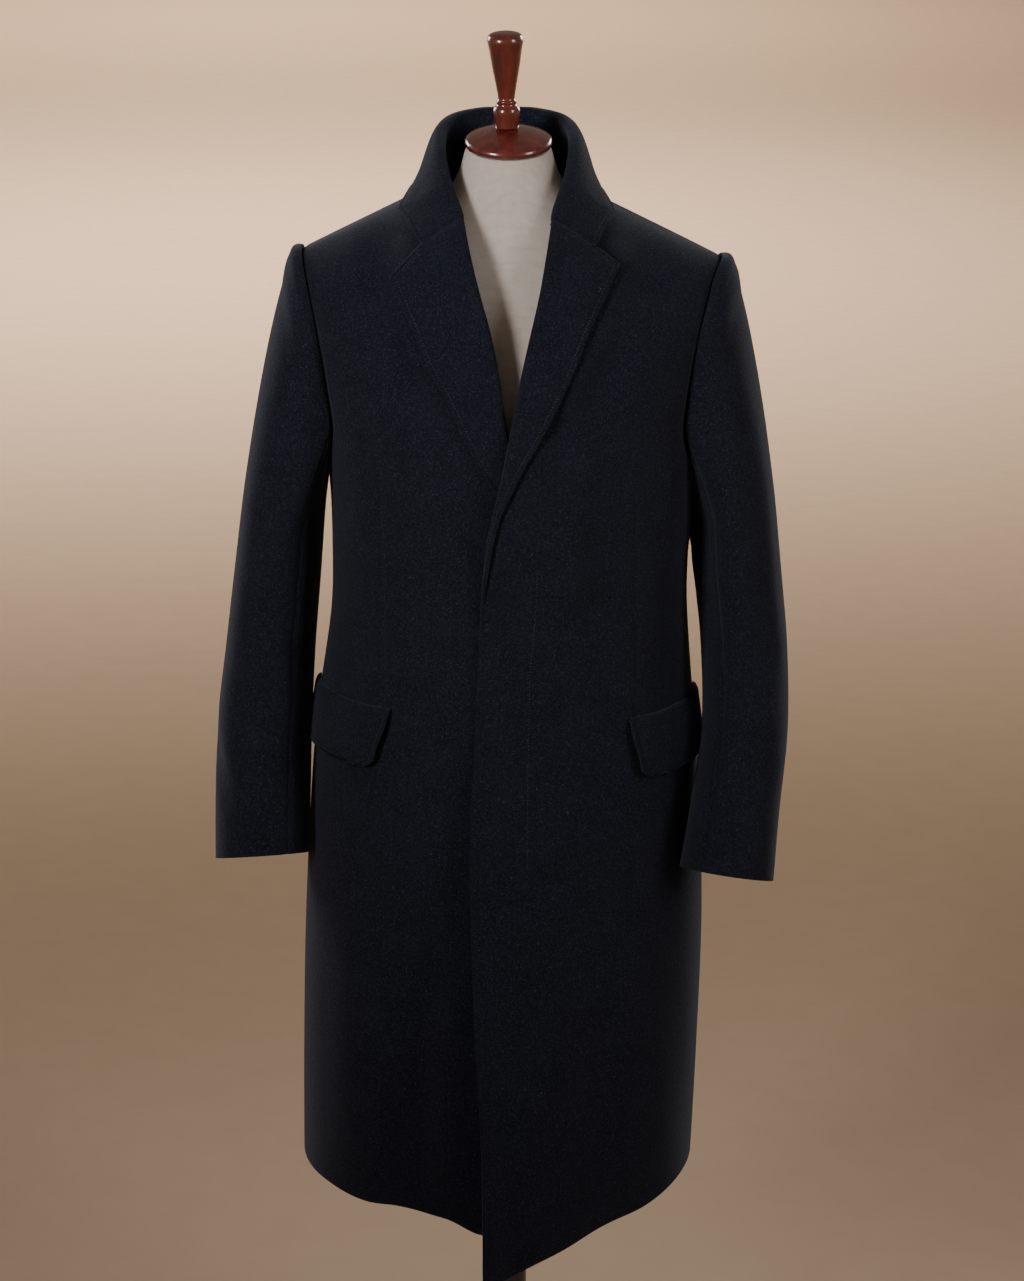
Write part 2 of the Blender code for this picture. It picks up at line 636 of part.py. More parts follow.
def collar_line():
    """The collar's stations from the wearer's right gorge round the back to the left one."""
    half = [list(row) for row in COLLAR_STATIONS]
    whole = [(RIGHT, row) for row in half[::-1]] + [(LEFT, row) for row in half[1:]]
    line = []
    for side, row in whole:
        crest = Vector((COLLAR_MIDDLE_X + side * row[CREST_X], row[CREST_Y], row[CREST_Z]))
        seam_x = COLLAR_MIDDLE_X + side * row[SEAM_X]
        seam = Vector((seam_x, row[SEAM_IN_Y], shoulder_top(seam_x, row[SEAM_IN_Y])))
        fall_x = COLLAR_MIDDLE_X + side * row[FALL_X]
        fall = Vector((fall_x, row[FALL_Y], shoulder_top(fall_x, row[FALL_Y])))
        line.append((crest, seam, fall))
    return line


def level_outward(points, j):
    """The level direction out of a line of points that runs round the neck."""
    along = points[min(j + 1, len(points) - 1)] - points[max(j - 1, 0)]
    return Vector((-along.y, along.x, 0.0)).normalized()


def make_collar_leaf():
    line = collar_line()
    crests = [crest for crest, _, _ in line]
    rows = [[] for _ in range(LEAF_ROWS)]
    for j, (crest, _, fall) in enumerate(line):
        out = level_outward(crests, j)
        end = fall + Vector((out.x * 0.35, out.y * 0.35, 1.0)).normalized() * LEAF_LIFT
        reach = (crest - end).length
        near = crest + (out + Vector((0, 0, 0.17))).normalized() * reach * LEAF_ROLL
        far = end + (crest - end) * LEAF_HANG + out * reach * LEAF_BELLY
        for i in range(LEAF_ROWS):
            t = i / (LEAF_ROWS - 1)
            rows[i].append((1 - t) ** 3 * crest + 3 * (1 - t) ** 2 * t * near
                           + 3 * (1 - t) * t * t * far + t**3 * end)
    normals = grid_normals(rows, 1)
    cloth_mesh("collar_leaf", rows, inner_side(rows, normals), WOOL)


def make_collar_stand():
    line = collar_line()
    crests = [crest for crest, _, _ in line]
    rows = [[] for _ in range(STAND_ROWS)]
    for j, (crest, seam, _) in enumerate(line):
        out = level_outward(crests, j)
        top = crest - out * ROLL_THICKNESS
        foot = seam - out * STAND_FOOT_IN + Vector((0, 0, STAND_FOOT_UP))
        for i in range(STAND_ROWS):
            t = i / (STAND_ROWS - 1)
            rows[i].append(foot.lerp(top, t))
    normals = grid_normals(rows, -1)
    cloth_mesh("collar_stand", rows, inner_side(rows, normals), WOOL_UNDER)


def on_grid(grid, row, column):
    """A point on a panel's flat facets, at a row and column with fractions."""
    i, j = min(int(row), len(grid) - 2), min(int(column), len(grid[0]) - 2)
    low = grid[i][j].lerp(grid[i][j + 1], column - j)
    high = grid[i + 1][j].lerp(grid[i + 1][j + 1], column - j)
    return low.lerp(high, row - i)


def make_flap(side):
    panel = front_grid(side)
    panel_normals = grid_normals(panel, side)
    heights = [row[-1].z for row in panel]
    top, bottom, top_x, bottom_x = FLAPS[side]
    grid, normals = [], []
    for i in range(FLAP_ROWS):
        t = i / (FLAP_ROWS - 1)
        z = bottom + (top - bottom) * t
        row = next(k for k in range(len(heights)) if heights[k + 1] > z)
        row += (z - heights[row]) / (heights[row + 1] - heights[row])
        front_x = bottom_x + (top_x - bottom_x) * t
        scan = [step / FLAP_SCAN for step in range(FLAP_SCAN * (PANEL_COLUMNS - 1) + 1)]
        start = next(c for c in scan if abs(on_grid(panel, row, c).x) > front_x and c > 1)
        end = FLAP_END * (PANEL_COLUMNS - 1)
        line, across = [], []
        for column in range(FLAP_COLUMNS):
            s = column / (FLAP_COLUMNS - 1)
            place = start + (end - start) * s
            normal = on_grid(panel_normals, row, place).normalized()
            lift = FLAP_LIFT + FLAP_FLARE * (1 - t) * (1 - s)
            line.append(on_grid(panel, row, place) + normal * lift)
            across.append(normal)
        grid.append(line)
        normals.append(across)
    name = "pocket_flap_left" if side == LEFT else "pocket_flap_right"
    cloth_mesh(name, grid, inner_side(grid, normals), WOOL)


# ---------------------------------------------------------------- the dress form and its stand
def make_torso():
    mesh = bmesh.new()
    rings = []
    for z, half, front, back in TORSO_SECTIONS:
        ring = []
        for column in range(TORSO_COLUMNS):
            turn = 2 * math.pi * column / TORSO_COLUMNS
            share_x, share_y = math.sin(turn), -math.cos(turn)
            x = half * math.copysign(abs(share_x) ** (2 / TORSO_POWER), share_x)
            depth = front if share_y < 0 else back
            y = depth * math.copysign(abs(share_y) ** (2 / TORSO_POWER), share_y)
            middle = NECK_X * ease(1.40, 1.50, z)
            tilt = NECK_TILT * y if z == NECK_TOP_HEIGHT else 0.0
            ring.append(mesh.verts.new((x + middle, y, z + tilt)))
        rings.append(ring)
    for low, high in zip(rings, rings[1:]):
        for j in range(TORSO_COLUMNS):
            k = (j + 1) % TORSO_COLUMNS
            mesh.faces.new((low[j], low[k], high[k], high[j]))
    mesh.faces.new(rings[0][::-1])
    mesh.faces.new(rings[-1])
    bmesh.ops.triangulate(mesh, faces=mesh.faces[:])
    bmesh.ops.recalc_face_normals(mesh, faces=mesh.faces[:])
    finish("form_torso", mesh, FORM_CLOTH)


def make_turned(name, profile, material, place=(0.0, 0.0, 0.0), tilt=0.0, lean=0.0):
    """A turned piece from its profile, from the top of its axis down to the foot."""
    data = bpy.data.meshes.new(name)
    edges = [(i, i + 1) for i in range(len(profile) - 1)]
    data.from_pydata([(radius, 0.0, z) for radius, z in profile], edges, [])
    piece = bpy.data.objects.new(name, data)
    coat_collection().objects.link(piece)
    piece.location = place
    piece.rotation_euler = (tilt, lean, 0.0)
    turn = piece.modifiers.new("turn", "SCREW")
    turn.steps = TURNED_STEPS
    turn.render_steps = TURNED_STEPS
    turn.use_merge_vertices = True
    turn.merge_threshold = 0.0001
    turn.use_smooth_shade = True
    paint(piece, material)
    return piece


def make_form():
    make_torso()
    tilt = math.atan(NECK_TILT)
    neck = Vector((NECK_X, 0.0, NECK_TOP_HEIGHT + 0.0006))
    make_turned("form_neck_cap", CAP_PROFILE, MAHOGANY, neck, tilt)
    cap_top = Vector((0.0, -math.sin(tilt), math.cos(tilt))) * (CAP_PROFILE[0][1] + 0.0020)
    foot = neck + cap_top + Vector((FINIAL_OFFSET_X, 0.0, 0.0))
    make_turned("form_finial", FINIAL_PROFILE, MAHOGANY, foot, FINIAL_TILT, FINIAL_LEAN)
    make_turned("form_pole", POLE_PROFILE, BLACK_METAL)
    make_turned("form_base", BASE_PROFILE, BLACK_METAL)


def clear_scene():
    for piece in list(bpy.data.objects):
        bpy.data.objects.remove(piece)


def main():
    clear_scene()
    for side in (RIGHT, LEFT):
        make_front(side)
        make_back(side)
        make_sleeve(side)
        make_lapel(side)
        make_flap(side)
    make_collar_stand()
    make_collar_leaf()
    make_form()


main()
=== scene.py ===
import math

import bpy
import numpy as np
from bpy.props import FloatProperty, FloatVectorProperty, IntProperty, PointerProperty
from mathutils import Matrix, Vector


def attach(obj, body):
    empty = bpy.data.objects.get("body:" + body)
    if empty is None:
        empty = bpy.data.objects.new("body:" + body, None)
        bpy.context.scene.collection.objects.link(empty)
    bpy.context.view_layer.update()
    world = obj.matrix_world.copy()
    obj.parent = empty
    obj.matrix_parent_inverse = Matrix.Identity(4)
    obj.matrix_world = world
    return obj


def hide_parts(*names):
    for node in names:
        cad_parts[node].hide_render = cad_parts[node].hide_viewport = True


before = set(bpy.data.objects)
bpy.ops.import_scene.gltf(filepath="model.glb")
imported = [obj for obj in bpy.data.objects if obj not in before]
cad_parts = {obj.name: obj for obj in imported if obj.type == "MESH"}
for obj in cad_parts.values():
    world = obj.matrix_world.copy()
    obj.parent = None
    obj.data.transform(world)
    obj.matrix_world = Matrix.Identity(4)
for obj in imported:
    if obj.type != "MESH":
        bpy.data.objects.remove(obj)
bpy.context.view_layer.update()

bl_info = {
    "name": "Overcoat on a dress form",
    "version": (1, 0, 0),
    "blender": (4, 5, 0),
    "location": "3D View > Sidebar > Overcoat",
    "description": "Makes the fine cloth, form, stand and studio of a wool overcoat on a dress form",
    "category": "Add Mesh",
}

# Metres, +Z up, floor at height 0 under the middle of the base.  The coat's front faces -Y;
# the wearer's right is at -X and the wearer's left, which laps over, is at +X.
RIGHT, LEFT = -1, 1
FRONT, BACK = -1, 1
SIDES = ((RIGHT, "right"), (LEFT, "left"))
SIDE_NAME = dict(SIDES)

# ---------------------------------------------------------------- sizes shared with the solids
SEAM_GAP = 0.0003
SEAM_Y = 0.005
SECTION_POWER = 2.4
ARMPIT_HEIGHT = 1.20
SHOULDER_SLOPE = 0.48
SHOULDER_ROLL = 0.17
NECK_POINT_X = 0.088
NECK_ROUND = 0.045
HEM_HEIGHT = 0.436
BACK_NECK_HEIGHT = 1.503
COLLAR_MIDDLE_X = -0.005
VENT_UNDERLAP = 0.045
BASE_RADIUS = 0.20
POLE_RADIUS = 0.016
POLE_FOOT = 0.047
TORSO_BOTTOM = 0.80
NECK_TOP_HEIGHT = 1.538
NECK_TILT = 0.22
NECK_X = -0.0035
CAP_RADIUS = 0.0445
FINIAL_OFFSET_X = -0.0015
FINIAL_TILT = math.radians(6)
FINIAL_LEAN = math.radians(-1.2)

SHOULDER_POINT = {
    RIGHT: (0.213, 1.436),
    LEFT: (0.214, 1.427),
}

BODY_SECTIONS = [            # one row for each level of the coat's body
    # height, right half width, left half width, front depth, back depth
    (0.390, 0.2320, 0.1970, 0.171, 0.141),
    (0.560, 0.2290, 0.2030, 0.169, 0.138),
    (0.720, 0.2235, 0.2060, 0.167, 0.135),
    (0.883, 0.2130, 0.1995, 0.163, 0.130),
    (0.970, 0.2030, 0.1915, 0.157, 0.118),
    (1.060, 0.1900, 0.1845, 0.151, 0.101),
    (1.130, 0.1880, 0.1840, 0.152, 0.106),
    (1.200, 0.1900, 0.1860, 0.154, 0.118),
    (1.270, 0.2000, 0.1915, 0.152, 0.126),
    (1.335, 0.2150, 0.2065, 0.148, 0.126),
    (1.400, 0.2375, 0.2320, 0.144, 0.121),
    (1.436, 0.2500, 0.2510, 0.142, 0.118),
    (1.540, 0.2620, 0.2620, 0.140, 0.115),
]
HEIGHT, RIGHT_HALF, LEFT_HALF, FRONT_DEPTH, BACK_DEPTH = range(5)

LOWER_ROWS = [               # rows of the fronts and backs below the armpit
    # side height, front edge height, left edge x, right edge x, vent edge x
    (HEM_HEIGHT, None, -0.0300, 0.0450, VENT_UNDERLAP),
    (0.480, 0.480, -0.0305, 0.0450, VENT_UNDERLAP),
    (0.550, 0.550, -0.0325, 0.0450, VENT_UNDERLAP),
    (0.640, 0.640, -0.0378, 0.0450, VENT_UNDERLAP),
    (0.730, 0.730, -0.0412, 0.0450, VENT_UNDERLAP),
    (0.820, 0.820, -0.0430, 0.0450, VENT_UNDERLAP),
    (0.900, 0.900, -0.0410, 0.0450, 0.0),
    (0.960, 0.960, -0.0378, 0.0450, 0.0),
    (1.020, 1.020, -0.0352, 0.0450, 0.0),
    (1.075, 1.080, -0.0325, 0.0440, 0.0),
    (1.120, 1.130, -0.0291, 0.0330, 0.0),
    (1.160, 1.170, -0.0245, 0.0210, 0.0),
]
SIDE_HEIGHT, EDGE_HEIGHT, LEFT_EDGE_X, RIGHT_EDGE_X, VENT_X = range(5)
FRONT_HEM_CORNER = {LEFT: 0.384, RIGHT: 0.415}

UPPER_ROWS = [               # rows from the armpit up to the shoulder seam
    # rise up the armhole, front and back share of the half width there,
    # left edge x and height, right edge x and height, centre back x and height
    (0.00, 1.000, 1.000, -0.0155, 1.210, 0.0100, 1.210, 0.000, 1.210),
    (0.05, 0.993, 0.993, -0.0080, 1.245, 0.0020, 1.245, 0.000, 1.245),
    (0.14, 0.962, 0.966, 0.0005, 1.290, -0.0065, 1.290, 0.000, 1.290),
    (0.26, 0.917, 0.938, 0.0093, 1.335, -0.0128, 1.335, 0.000, 1.340),
    (0.42, 0.905, 0.922, 0.0185, 1.375, -0.0209, 1.375, 0.000, 1.390),
    (0.59, 0.890, 0.905, 0.0268, 1.410, -0.0310, 1.410, 0.000, 1.435),
    (0.74, 0.873, 0.885, 0.0325, 1.440, -0.0390, 1.440, 0.000, 1.473),
    (0.86, 0.863, 0.868, 0.0386, 1.474, -0.0474, 1.477, 0.000, BACK_NECK_HEIGHT),
    (0.94, 0.856, 0.858, 0.0620, 1.482, -0.0670, 1.488, 0.050, 1.497),
    (1.00, None, None, None, None, None, None, None, None),
]
RISE, FRONT_SHARE, BACK_SHARE, LEFT_X, LEFT_Z, RIGHT_X, RIGHT_Z, CENTRE_X, CENTRE_Z = range(9)

FRONT_SWING = [              # how far the front edges swing forward, down to the hem
    # height, left, right
    (0.390, 0.080, 0.014),
    (0.470, 0.066, 0.010),
    (0.550, 0.053, 0.007),
    (0.640, 0.039, 0.004),
    (0.730, 0.026, 0.002),
    (0.820, 0.014, 0.0),
    (0.900, 0.006, 0.0),
    (0.960, 0.0, 0.0),
    (1.540, 0.0, 0.0),
]
OVERLAP_PUSH = [             # how far the left front is lifted by what lies under its edge
    # height, lift
    (0.390, 0.0050),
    (1.080, 0.0050),
    (1.140, 0.0098),
    (1.300, 0.0098),
    (1.370, 0.0035),
    (1.430, 0.0),
    (1.540, 0.0),
]
OVERLAP_FADE = (0.055, 0.100)
VENT_PUSH = [                # the same for the left back over the vent's underlap
    (0.390, 0.0050),
    (0.900, 0.0050),
    (0.960, 0.0),
    (1.540, 0.0),
]

SLEEVE_SECTIONS = {          # one row for each ring of a sleeve below the armpit
    # height, centre x (outwards), centre y, half width, half depth, lean out, lean forward
    RIGHT: [
        (1.157, 0.2395, 0.003, 0.0440, 0.083, 0.00, 0.00),
        (1.085, 0.2475, 0.004, 0.0460, 0.078, 0.02, 0.02),
        (1.017, 0.2550, -0.001, 0.0475, 0.072, 0.04, 0.05),
        (0.940, 0.2620, -0.014, 0.0500, 0.065, 0.05, 0.12),
        (0.860, 0.2645, -0.035, 0.0505, 0.058, 0.06, 0.24),
        (0.795, 0.2654, -0.054, 0.0498, 0.051, 0.07, 0.34),
    ],
    LEFT: [
        (1.157, 0.2325, 0.002, 0.0440, 0.083, 0.00, 0.00),
        (1.095, 0.2370, -0.003, 0.0460, 0.079, 0.02, 0.04),
        (1.020, 0.2440, -0.020, 0.0455, 0.072, 0.04, 0.10),
        (0.940, 0.2440, -0.056, 0.0450, 0.065, 0.05, 0.18),
        (0.860, 0.2325, -0.093, 0.0465, 0.057, 0.08, 0.26),
        (0.798, 0.2240, -0.115, 0.0492, 0.050, 0.16, 0.30),
    ],
}
RING_Z, RING_X, RING_Y, RING_HALF, RING_DEPTH, LEAN_OUT, LEAN_FORWARD = range(7)
SLEEVE_HEAD_CLEAR = 0.0006
SLEEVE_HEAD_ROPE = 0.24
SLEEVE_HEAD_DROP = 0.85

LAPEL_ROWS = {               # one row for each line across a lapel, from the break up
    # height on the roll line, height and x of the outer edge
    LEFT: [
        (1.085, 1.0850, -0.0297),
        (1.115, 1.1150, -0.0262),
        (1.147, 1.1470, -0.0215),
        (1.175, 1.1700, -0.0172),
        (1.205, 1.1950, -0.0105),
        (1.235, 1.2150, -0.0010),
        (1.270, 1.2394, 0.0109),
        (1.305, 1.2804, 0.0336),
        (1.340, 1.3237, 0.0552),
        (1.375, 1.3661, 0.0718),
        (1.405, 1.3934, 0.0857),
        (1.436, 1.4316, 0.1051),
        (1.475, 1.4486, 0.0832),
    ],
    RIGHT: [
        (1.205, 1.1900, -0.0040),
        (1.235, 1.2150, -0.0169),
        (1.275, 1.2582, -0.0416),
        (1.310, 1.3027, -0.0622),
        (1.340, 1.3369, -0.0808),
        (1.385, 1.3820, -0.1005),
        (1.430, 1.4209, -0.1198),
        (1.477, 1.4508, -0.0901),
    ],
}

COLLAR_STATIONS = [          # from the centre back round to the gorge; x from the collar's middle
    # crest x, y, height; neck seam x, y; fall edge x, y
    (0.000, 0.088, 1.566, 0.000, 0.066, 0.0000, 0.0820),
    (0.030, 0.084, 1.566, 0.032, 0.062, 0.0400, 0.0810),
    (0.055, 0.064, 1.563, 0.060, 0.047, 0.0710, 0.0670),
    (0.067, 0.034, 1.556, 0.078, 0.027, 0.0895, 0.0460),
    (0.069, 0.002, 1.544, 0.083, 0.002, 0.0945, 0.0160),
    (0.066, -0.028, 1.527, 0.078, -0.026, 0.1005, -0.0120),
    (0.0585, -0.056, 1.506, 0.066, -0.050, 0.1080, -0.0365),
    (0.050, -0.072, 1.490, 0.055, -0.066, 0.0970, -0.0620),
    (0.043, -0.083, 1.4775, 0.045, -0.080, 0.0860, -0.0830),
]
CREST_X, CREST_Y, CREST_Z, SEAM_X, SEAM_IN_Y, FALL_X, FALL_Y = range(7)
TIP_STATION = 6
LEAF_ROLL = 0.16
LEAF_HANG = 0.30
LEAF_BELLY = 0.03
LEAF_LIFT = 0.0062
STAND_FOOT_IN = 0.0060
STAND_FOOT_UP = 0.0064

FLAPS = {                    # side: top height, bottom height, front corner x at top and bottom
    RIGHT: (0.983, 0.920, 0.1235, 0.1385),
    LEFT: (0.973, 0.910, 0.1185, 0.1280),
}
FLAP_LIFT = 0.0060
FLAP_END = 0.97

TORSO_SECTIONS = [           # the form, from its underside to the neck
    # height, half width, front depth, back depth
    (TORSO_BOTTOM, 0.150, 0.100, 0.100),
    (0.812, 0.162, 0.110, 0.109),
    (0.900, 0.170, 0.115, 0.115),
    (1.000, 0.158, 0.112, 0.098),
    (1.060, 0.150, 0.108, 0.086),
    (1.150, 0.157, 0.114, 0.093),
    (1.250, 0.168, 0.122, 0.106),
    (1.330, 0.176, 0.118, 0.111),
    (1.380, 0.180, 0.108, 0.106),
    (1.415, 0.181, 0.094, 0.095),
    (1.435, 0.168, 0.084, 0.086),
    (1.450, 0.143, 0.078, 0.080),
    (1.465, 0.112, 0.072, 0.074),
    (1.480, 0.082, 0.064, 0.066),
    (1.495, 0.062, 0.054, 0.055),
    (1.512, 0.051, 0.048, 0.048),
    (NECK_TOP_HEIGHT, 0.0425, 0.0425, 0.0425),
]

CAP_PROFILE = [              # radius, height over the neck's top, from its foot up
    (CAP_RADIUS - 0.0025, 0.0), (CAP_RADIUS - 0.0006, 0.0018), (CAP_RADIUS, 0.0040),
    (CAP_RADIUS - 0.0006, 0.0064), (0.0425, 0.0082), (0.0405, 0.0093), (0.0390, 0.0100),
    (0.0345, 0.0117), (0.0280, 0.0138), (0.0200, 0.0158), (0.0120, 0.0172), (0.0040, 0.0179),
    (0.0004, 0.0180),
]
FINIAL_PROFILE = [           # radius, height over its foot, from its foot up
    (0.0118, 0.0), (0.0122, 0.0040), (0.0131, 0.0105), (0.0135, 0.0150), (0.0133, 0.0180),
    (0.0122, 0.0205), (0.0104, 0.0222), (0.0098, 0.0238), (0.0102, 0.0252), (0.0102, 0.0266),
    (0.0090, 0.0280), (0.0086, 0.0295), (0.0090, 0.0330), (0.0100, 0.0390), (0.0115, 0.0470),
    (0.0132, 0.0560), (0.0150, 0.0670), (0.0166, 0.0780), (0.0178, 0.0840), (0.0182, 0.0872),
    (0.0178, 0.0900), (0.0165, 0.0922), (0.0140, 0.0938), (0.0100, 0.0949), (0.0050, 0.0954),
    (0.0004, 0.0955),
]
POLE_PROFILE = [             # radius, height, from its foot up
    (POLE_RADIUS, POLE_FOOT), (POLE_RADIUS, 0.30), (POLE_RADIUS, TORSO_BOTTOM - 0.0665),
    (POLE_RADIUS + 0.0025, TORSO_BOTTOM - 0.0655), (POLE_RADIUS + 0.0030, TORSO_BOTTOM - 0.0635),
    (POLE_RADIUS + 0.0030, TORSO_BOTTOM - 0.060), (0.0205, TORSO_BOTTOM - 0.040),
    (0.0240, TORSO_BOTTOM - 0.014), (0.0300, TORSO_BOTTOM - 0.0105), (0.0372, TORSO_BOTTOM - 0.0088),
    (0.0380, TORSO_BOTTOM - 0.0075), (0.0380, TORSO_BOTTOM - SEAM_GAP),
]
BASE_PROFILE = [             # radius, height, from its foot up
    (BASE_RADIUS, 0.0), (BASE_RADIUS, 0.0070), (0.1990, 0.0098), (0.1962, 0.0124), (0.1910, 0.0146),
    (0.1820, 0.0165), (0.1600, 0.0186), (0.1350, 0.0210), (0.1100, 0.0238), (0.0800, 0.0276),
    (0.0600, 0.0308), (0.0450, 0.0342), (0.0380, 0.0372), (0.0342, 0.0405), (0.0325, 0.0430),
    (0.0312, 0.0452), (0.0285, 0.0463), (0.0275, POLE_FOOT - SEAM_GAP),
]

# ---------------------------------------------------------------- sizes of the fine cloth
CLOTH_WALL = 0.003
CURVE_STEPS = 400            # points of a smooth curve that is read between them
NORMAL_STEP = 0.004          # the front's slope is measured this far to each side
PANEL_COLUMNS = 84
PANEL_STEPS_BELOW = 11       # rows between two rows of the tables, below and above the armpit
PANEL_STEPS_ABOVE = 6
COLUMN_NEAR = 0.0014         # spacing of columns at an edge or a seam, and away from them
COLUMN_FAR = 0.0080
COLUMN_GROWTH = 0.20
EDGE_SLANT_LEAST = 0.35
FOLD_END_FADE = 0.75
FOLD_CLEAR = 0.020           # folds fade out this near to sewn edges
SEAM_DIP = 0.0009
SEAM_DIP_REACH = 0.0065
STITCH_INSET = 0.0056        # pick stitches inside lapel, collar and front edges
STITCH_DIP = 0.00070
STITCH_DIP_REACH = 0.0024
STITCH_PITCH = 0.0031
STITCH_LIFT = -0.0001
PICK_STITCH = (0.0015, 0.0006, 0.0005)
EDGE_PUFF = 0.0007
EDGE_PUFF_INSET = 0.0026
EDGE_PUFF_REACH = 0.0030
UNDER_LEFT_FRONT = (-0.050, -0.025)
VENT_TOP = 0.885
VENT_FADE = 0.02             # the centre seam's dip fades in this far over the vent
HEM_WAVE_REACH = 0.16
HEM_DIP = 0.014              # the right front's hem drops beside the left front's edge
HEM_DIP_ENDS = (-0.075, -0.031)

FLY_LINE = [                 # height, x of the stitching that holds the fly
    (0.800, 0.0152), (0.8228, 0.0154), (0.9332, 0.0163), (1.0273, 0.0182), (1.0931, 0.0241),
    (1.1414, 0.0250), (1.160, 0.0260),
]
FLY_DIP = 0.0005
FLY_REACH = 0.0030
FLY_FADE = 0.01              # the dip fades in this far below the stitching
FLY_TOP = (1.138, 1.146)     # and out between these heights
FLY_STITCH_TOP = 1.140
FLY_POINTS = 120
DARTS = {                    # height, x of the front darts
    RIGHT: [(0.900, -0.1295), (1.0054, -0.1308), (1.130, -0.1326), (1.2528, -0.1338), (1.300, -0.1340)],
    LEFT: [(0.900, 0.1290), (0.973, 0.1285), (1.0879, 0.1259), (1.170, 0.1246), (1.2464, 0.1238),
           (1.300, 0.1236)],
}
DART_ENDS = {RIGHT: (0.990, 1.256), LEFT: (0.975, 1.250)}
DART_FADE = 0.030
DART_DIP = 0.0008
DART_REACH = 0.0042

FOLDS = {                    # soft ridges and troughs of the fronts and backs
    # start x, height; end x, height; bow; rise (a trough is below 0); reach to each side
    (LEFT, FRONT): [
        (0.049, 1.300, 0.046, 1.190, 0.002, -0.0062, 0.028),
        (0.130, 1.462, 0.134, 1.392, 0.0, -0.0054, 0.032),
        (0.176, 1.270, 0.172, 1.120, 0.0, 0.0034, 0.040),
        (0.116, 1.366, 0.056, 1.262, 0.0, -0.0046, 0.024),
        (0.109, 1.365, 0.112, 1.325, 0.0, -0.0038, 0.036),
        (0.149, 1.418, 0.160, 1.385, 0.0, -0.0035, 0.034),
        (0.055, 1.150, 0.060, 1.095, 0.0, 0.0030, 0.034),
        (-0.020, 0.725, 0.062, 0.792, 0.004, 0.0026, 0.030),
        (0.070, 0.690, 0.092, 0.470, 0.006, -0.0038, 0.040),
        (0.128, 0.760, 0.150, 0.450, 0.0, 0.0034, 0.042),
        (0.020, 0.600, 0.028, 0.430, 0.0, 0.0026, 0.036),
        (0.150, 1.060, 0.172, 0.960, 0.0, -0.0024, 0.028),
        (0.090, 1.180, 0.085, 1.060, 0.004, -0.0018, 0.026),
    ],
    (RIGHT, FRONT): [
        (-0.060, 1.240, -0.041, 1.160, 0.0, -0.0046, 0.024),
        (-0.130, 1.466, -0.134, 1.392, 0.0, -0.0056, 0.032),
        (-0.124, 1.378, -0.070, 1.258, 0.0, -0.0034, 0.020),
        (-0.112, 1.368, -0.118, 1.325, 0.0, -0.0034, 0.036),
        (-0.150, 1.425, -0.160, 1.390, 0.0, -0.0030, 0.032),
        (-0.100, 0.790, -0.114, 0.430, 0.004, -0.0052, 0.044),
        (-0.158, 0.800, -0.166, 0.450, 0.0, 0.0036, 0.040),
        (-0.062, 0.700, -0.070, 0.440, 0.0, 0.0026, 0.030),
        (-0.096, 1.160, -0.088, 1.030, -0.004, -0.0020, 0.028),
        (-0.158, 1.050, -0.178, 0.950, 0.0, -0.0022, 0.026),
    ],
    (LEFT, BACK): [
        (0.052, 0.830, 0.064, 0.450, -0.004, 0.0048, 0.042),
        (0.178, 1.270, 0.174, 1.120, 0.0, 0.0034, 0.040),
        (0.108, 0.880, 0.122, 0.440, 0.004, -0.0044, 0.044),
        (0.160, 0.800, 0.172, 0.470, 0.0, 0.0032, 0.036),
        (0.118, 1.380, 0.150, 1.180, 0.012, -0.0036, 0.034),
        (0.050, 1.150, 0.108, 1.080, -0.006, -0.0024, 0.026),
        (0.030, 1.060, 0.080, 1.010, -0.004, 0.0018, 0.024),
        (0.060, 1.440, 0.075, 1.330, 0.0, 0.0018, 0.050),
    ],
    (RIGHT, BACK): [
        (-0.048, 0.840, -0.055, 0.450, 0.004, 0.0042, 0.040),
        (-0.102, 0.860, -0.112, 0.440, -0.004, -0.0048, 0.046),
        (-0.162, 0.780, -0.182, 0.460, 0.0, 0.0034, 0.038),
        (-0.122, 1.385, -0.152, 1.190, -0.012, -0.0034, 0.036),
        (-0.045, 1.140, -0.100, 1.085, 0.006, -0.0026, 0.028),
        (-0.028, 1.050, -0.070, 1.012, 0.004, 0.0016, 0.022),
        (-0.064, 1.440, -0.078, 1.320, 0.0, 0.0018, 0.048),
    ],
}
HEM_WAVES = {                # middle x, rise, reach to each side
    (LEFT, FRONT): [(0.092, 0.0028, 0.050), (0.150, -0.0022, 0.045)],
    (RIGHT, FRONT): [(-0.112, 0.0030, 0.044), (-0.165, -0.0022, 0.042)],
    (LEFT, BACK): [(0.062, -0.0026, 0.050), (0.120, 0.0030, 0.050)],
    (RIGHT, BACK): [(-0.055, -0.0024, 0.046), (-0.110, 0.0028, 0.050)],
}
LAPEL_FOLDS = {              # as FOLDS, for the lapels
    LEFT: [(0.050, 1.300, 0.060, 1.345, 0.0, -0.0010, 0.022),
           (0.062, 1.410, 0.085, 1.418, 0.0, 0.0010, 0.020)],
    RIGHT: [(-0.050, 1.330, -0.068, 1.375, 0.0, -0.0010, 0.022),
            (-0.066, 1.418, -0.100, 1.416, 0.0, 0.0012, 0.020)],
}
COLLAR_FOLDS = [             # as FOLDS, for the collar, in x and y
    (-0.100, -0.010, -0.094, -0.050, 0.0, -0.0010, 0.022),
    (0.092, -0.008, 0.086, -0.048, 0.0, -0.0010, 0.022),
    (0.030, 0.086, -0.040, 0.086, 0.0, 0.0008, 0.030),
]

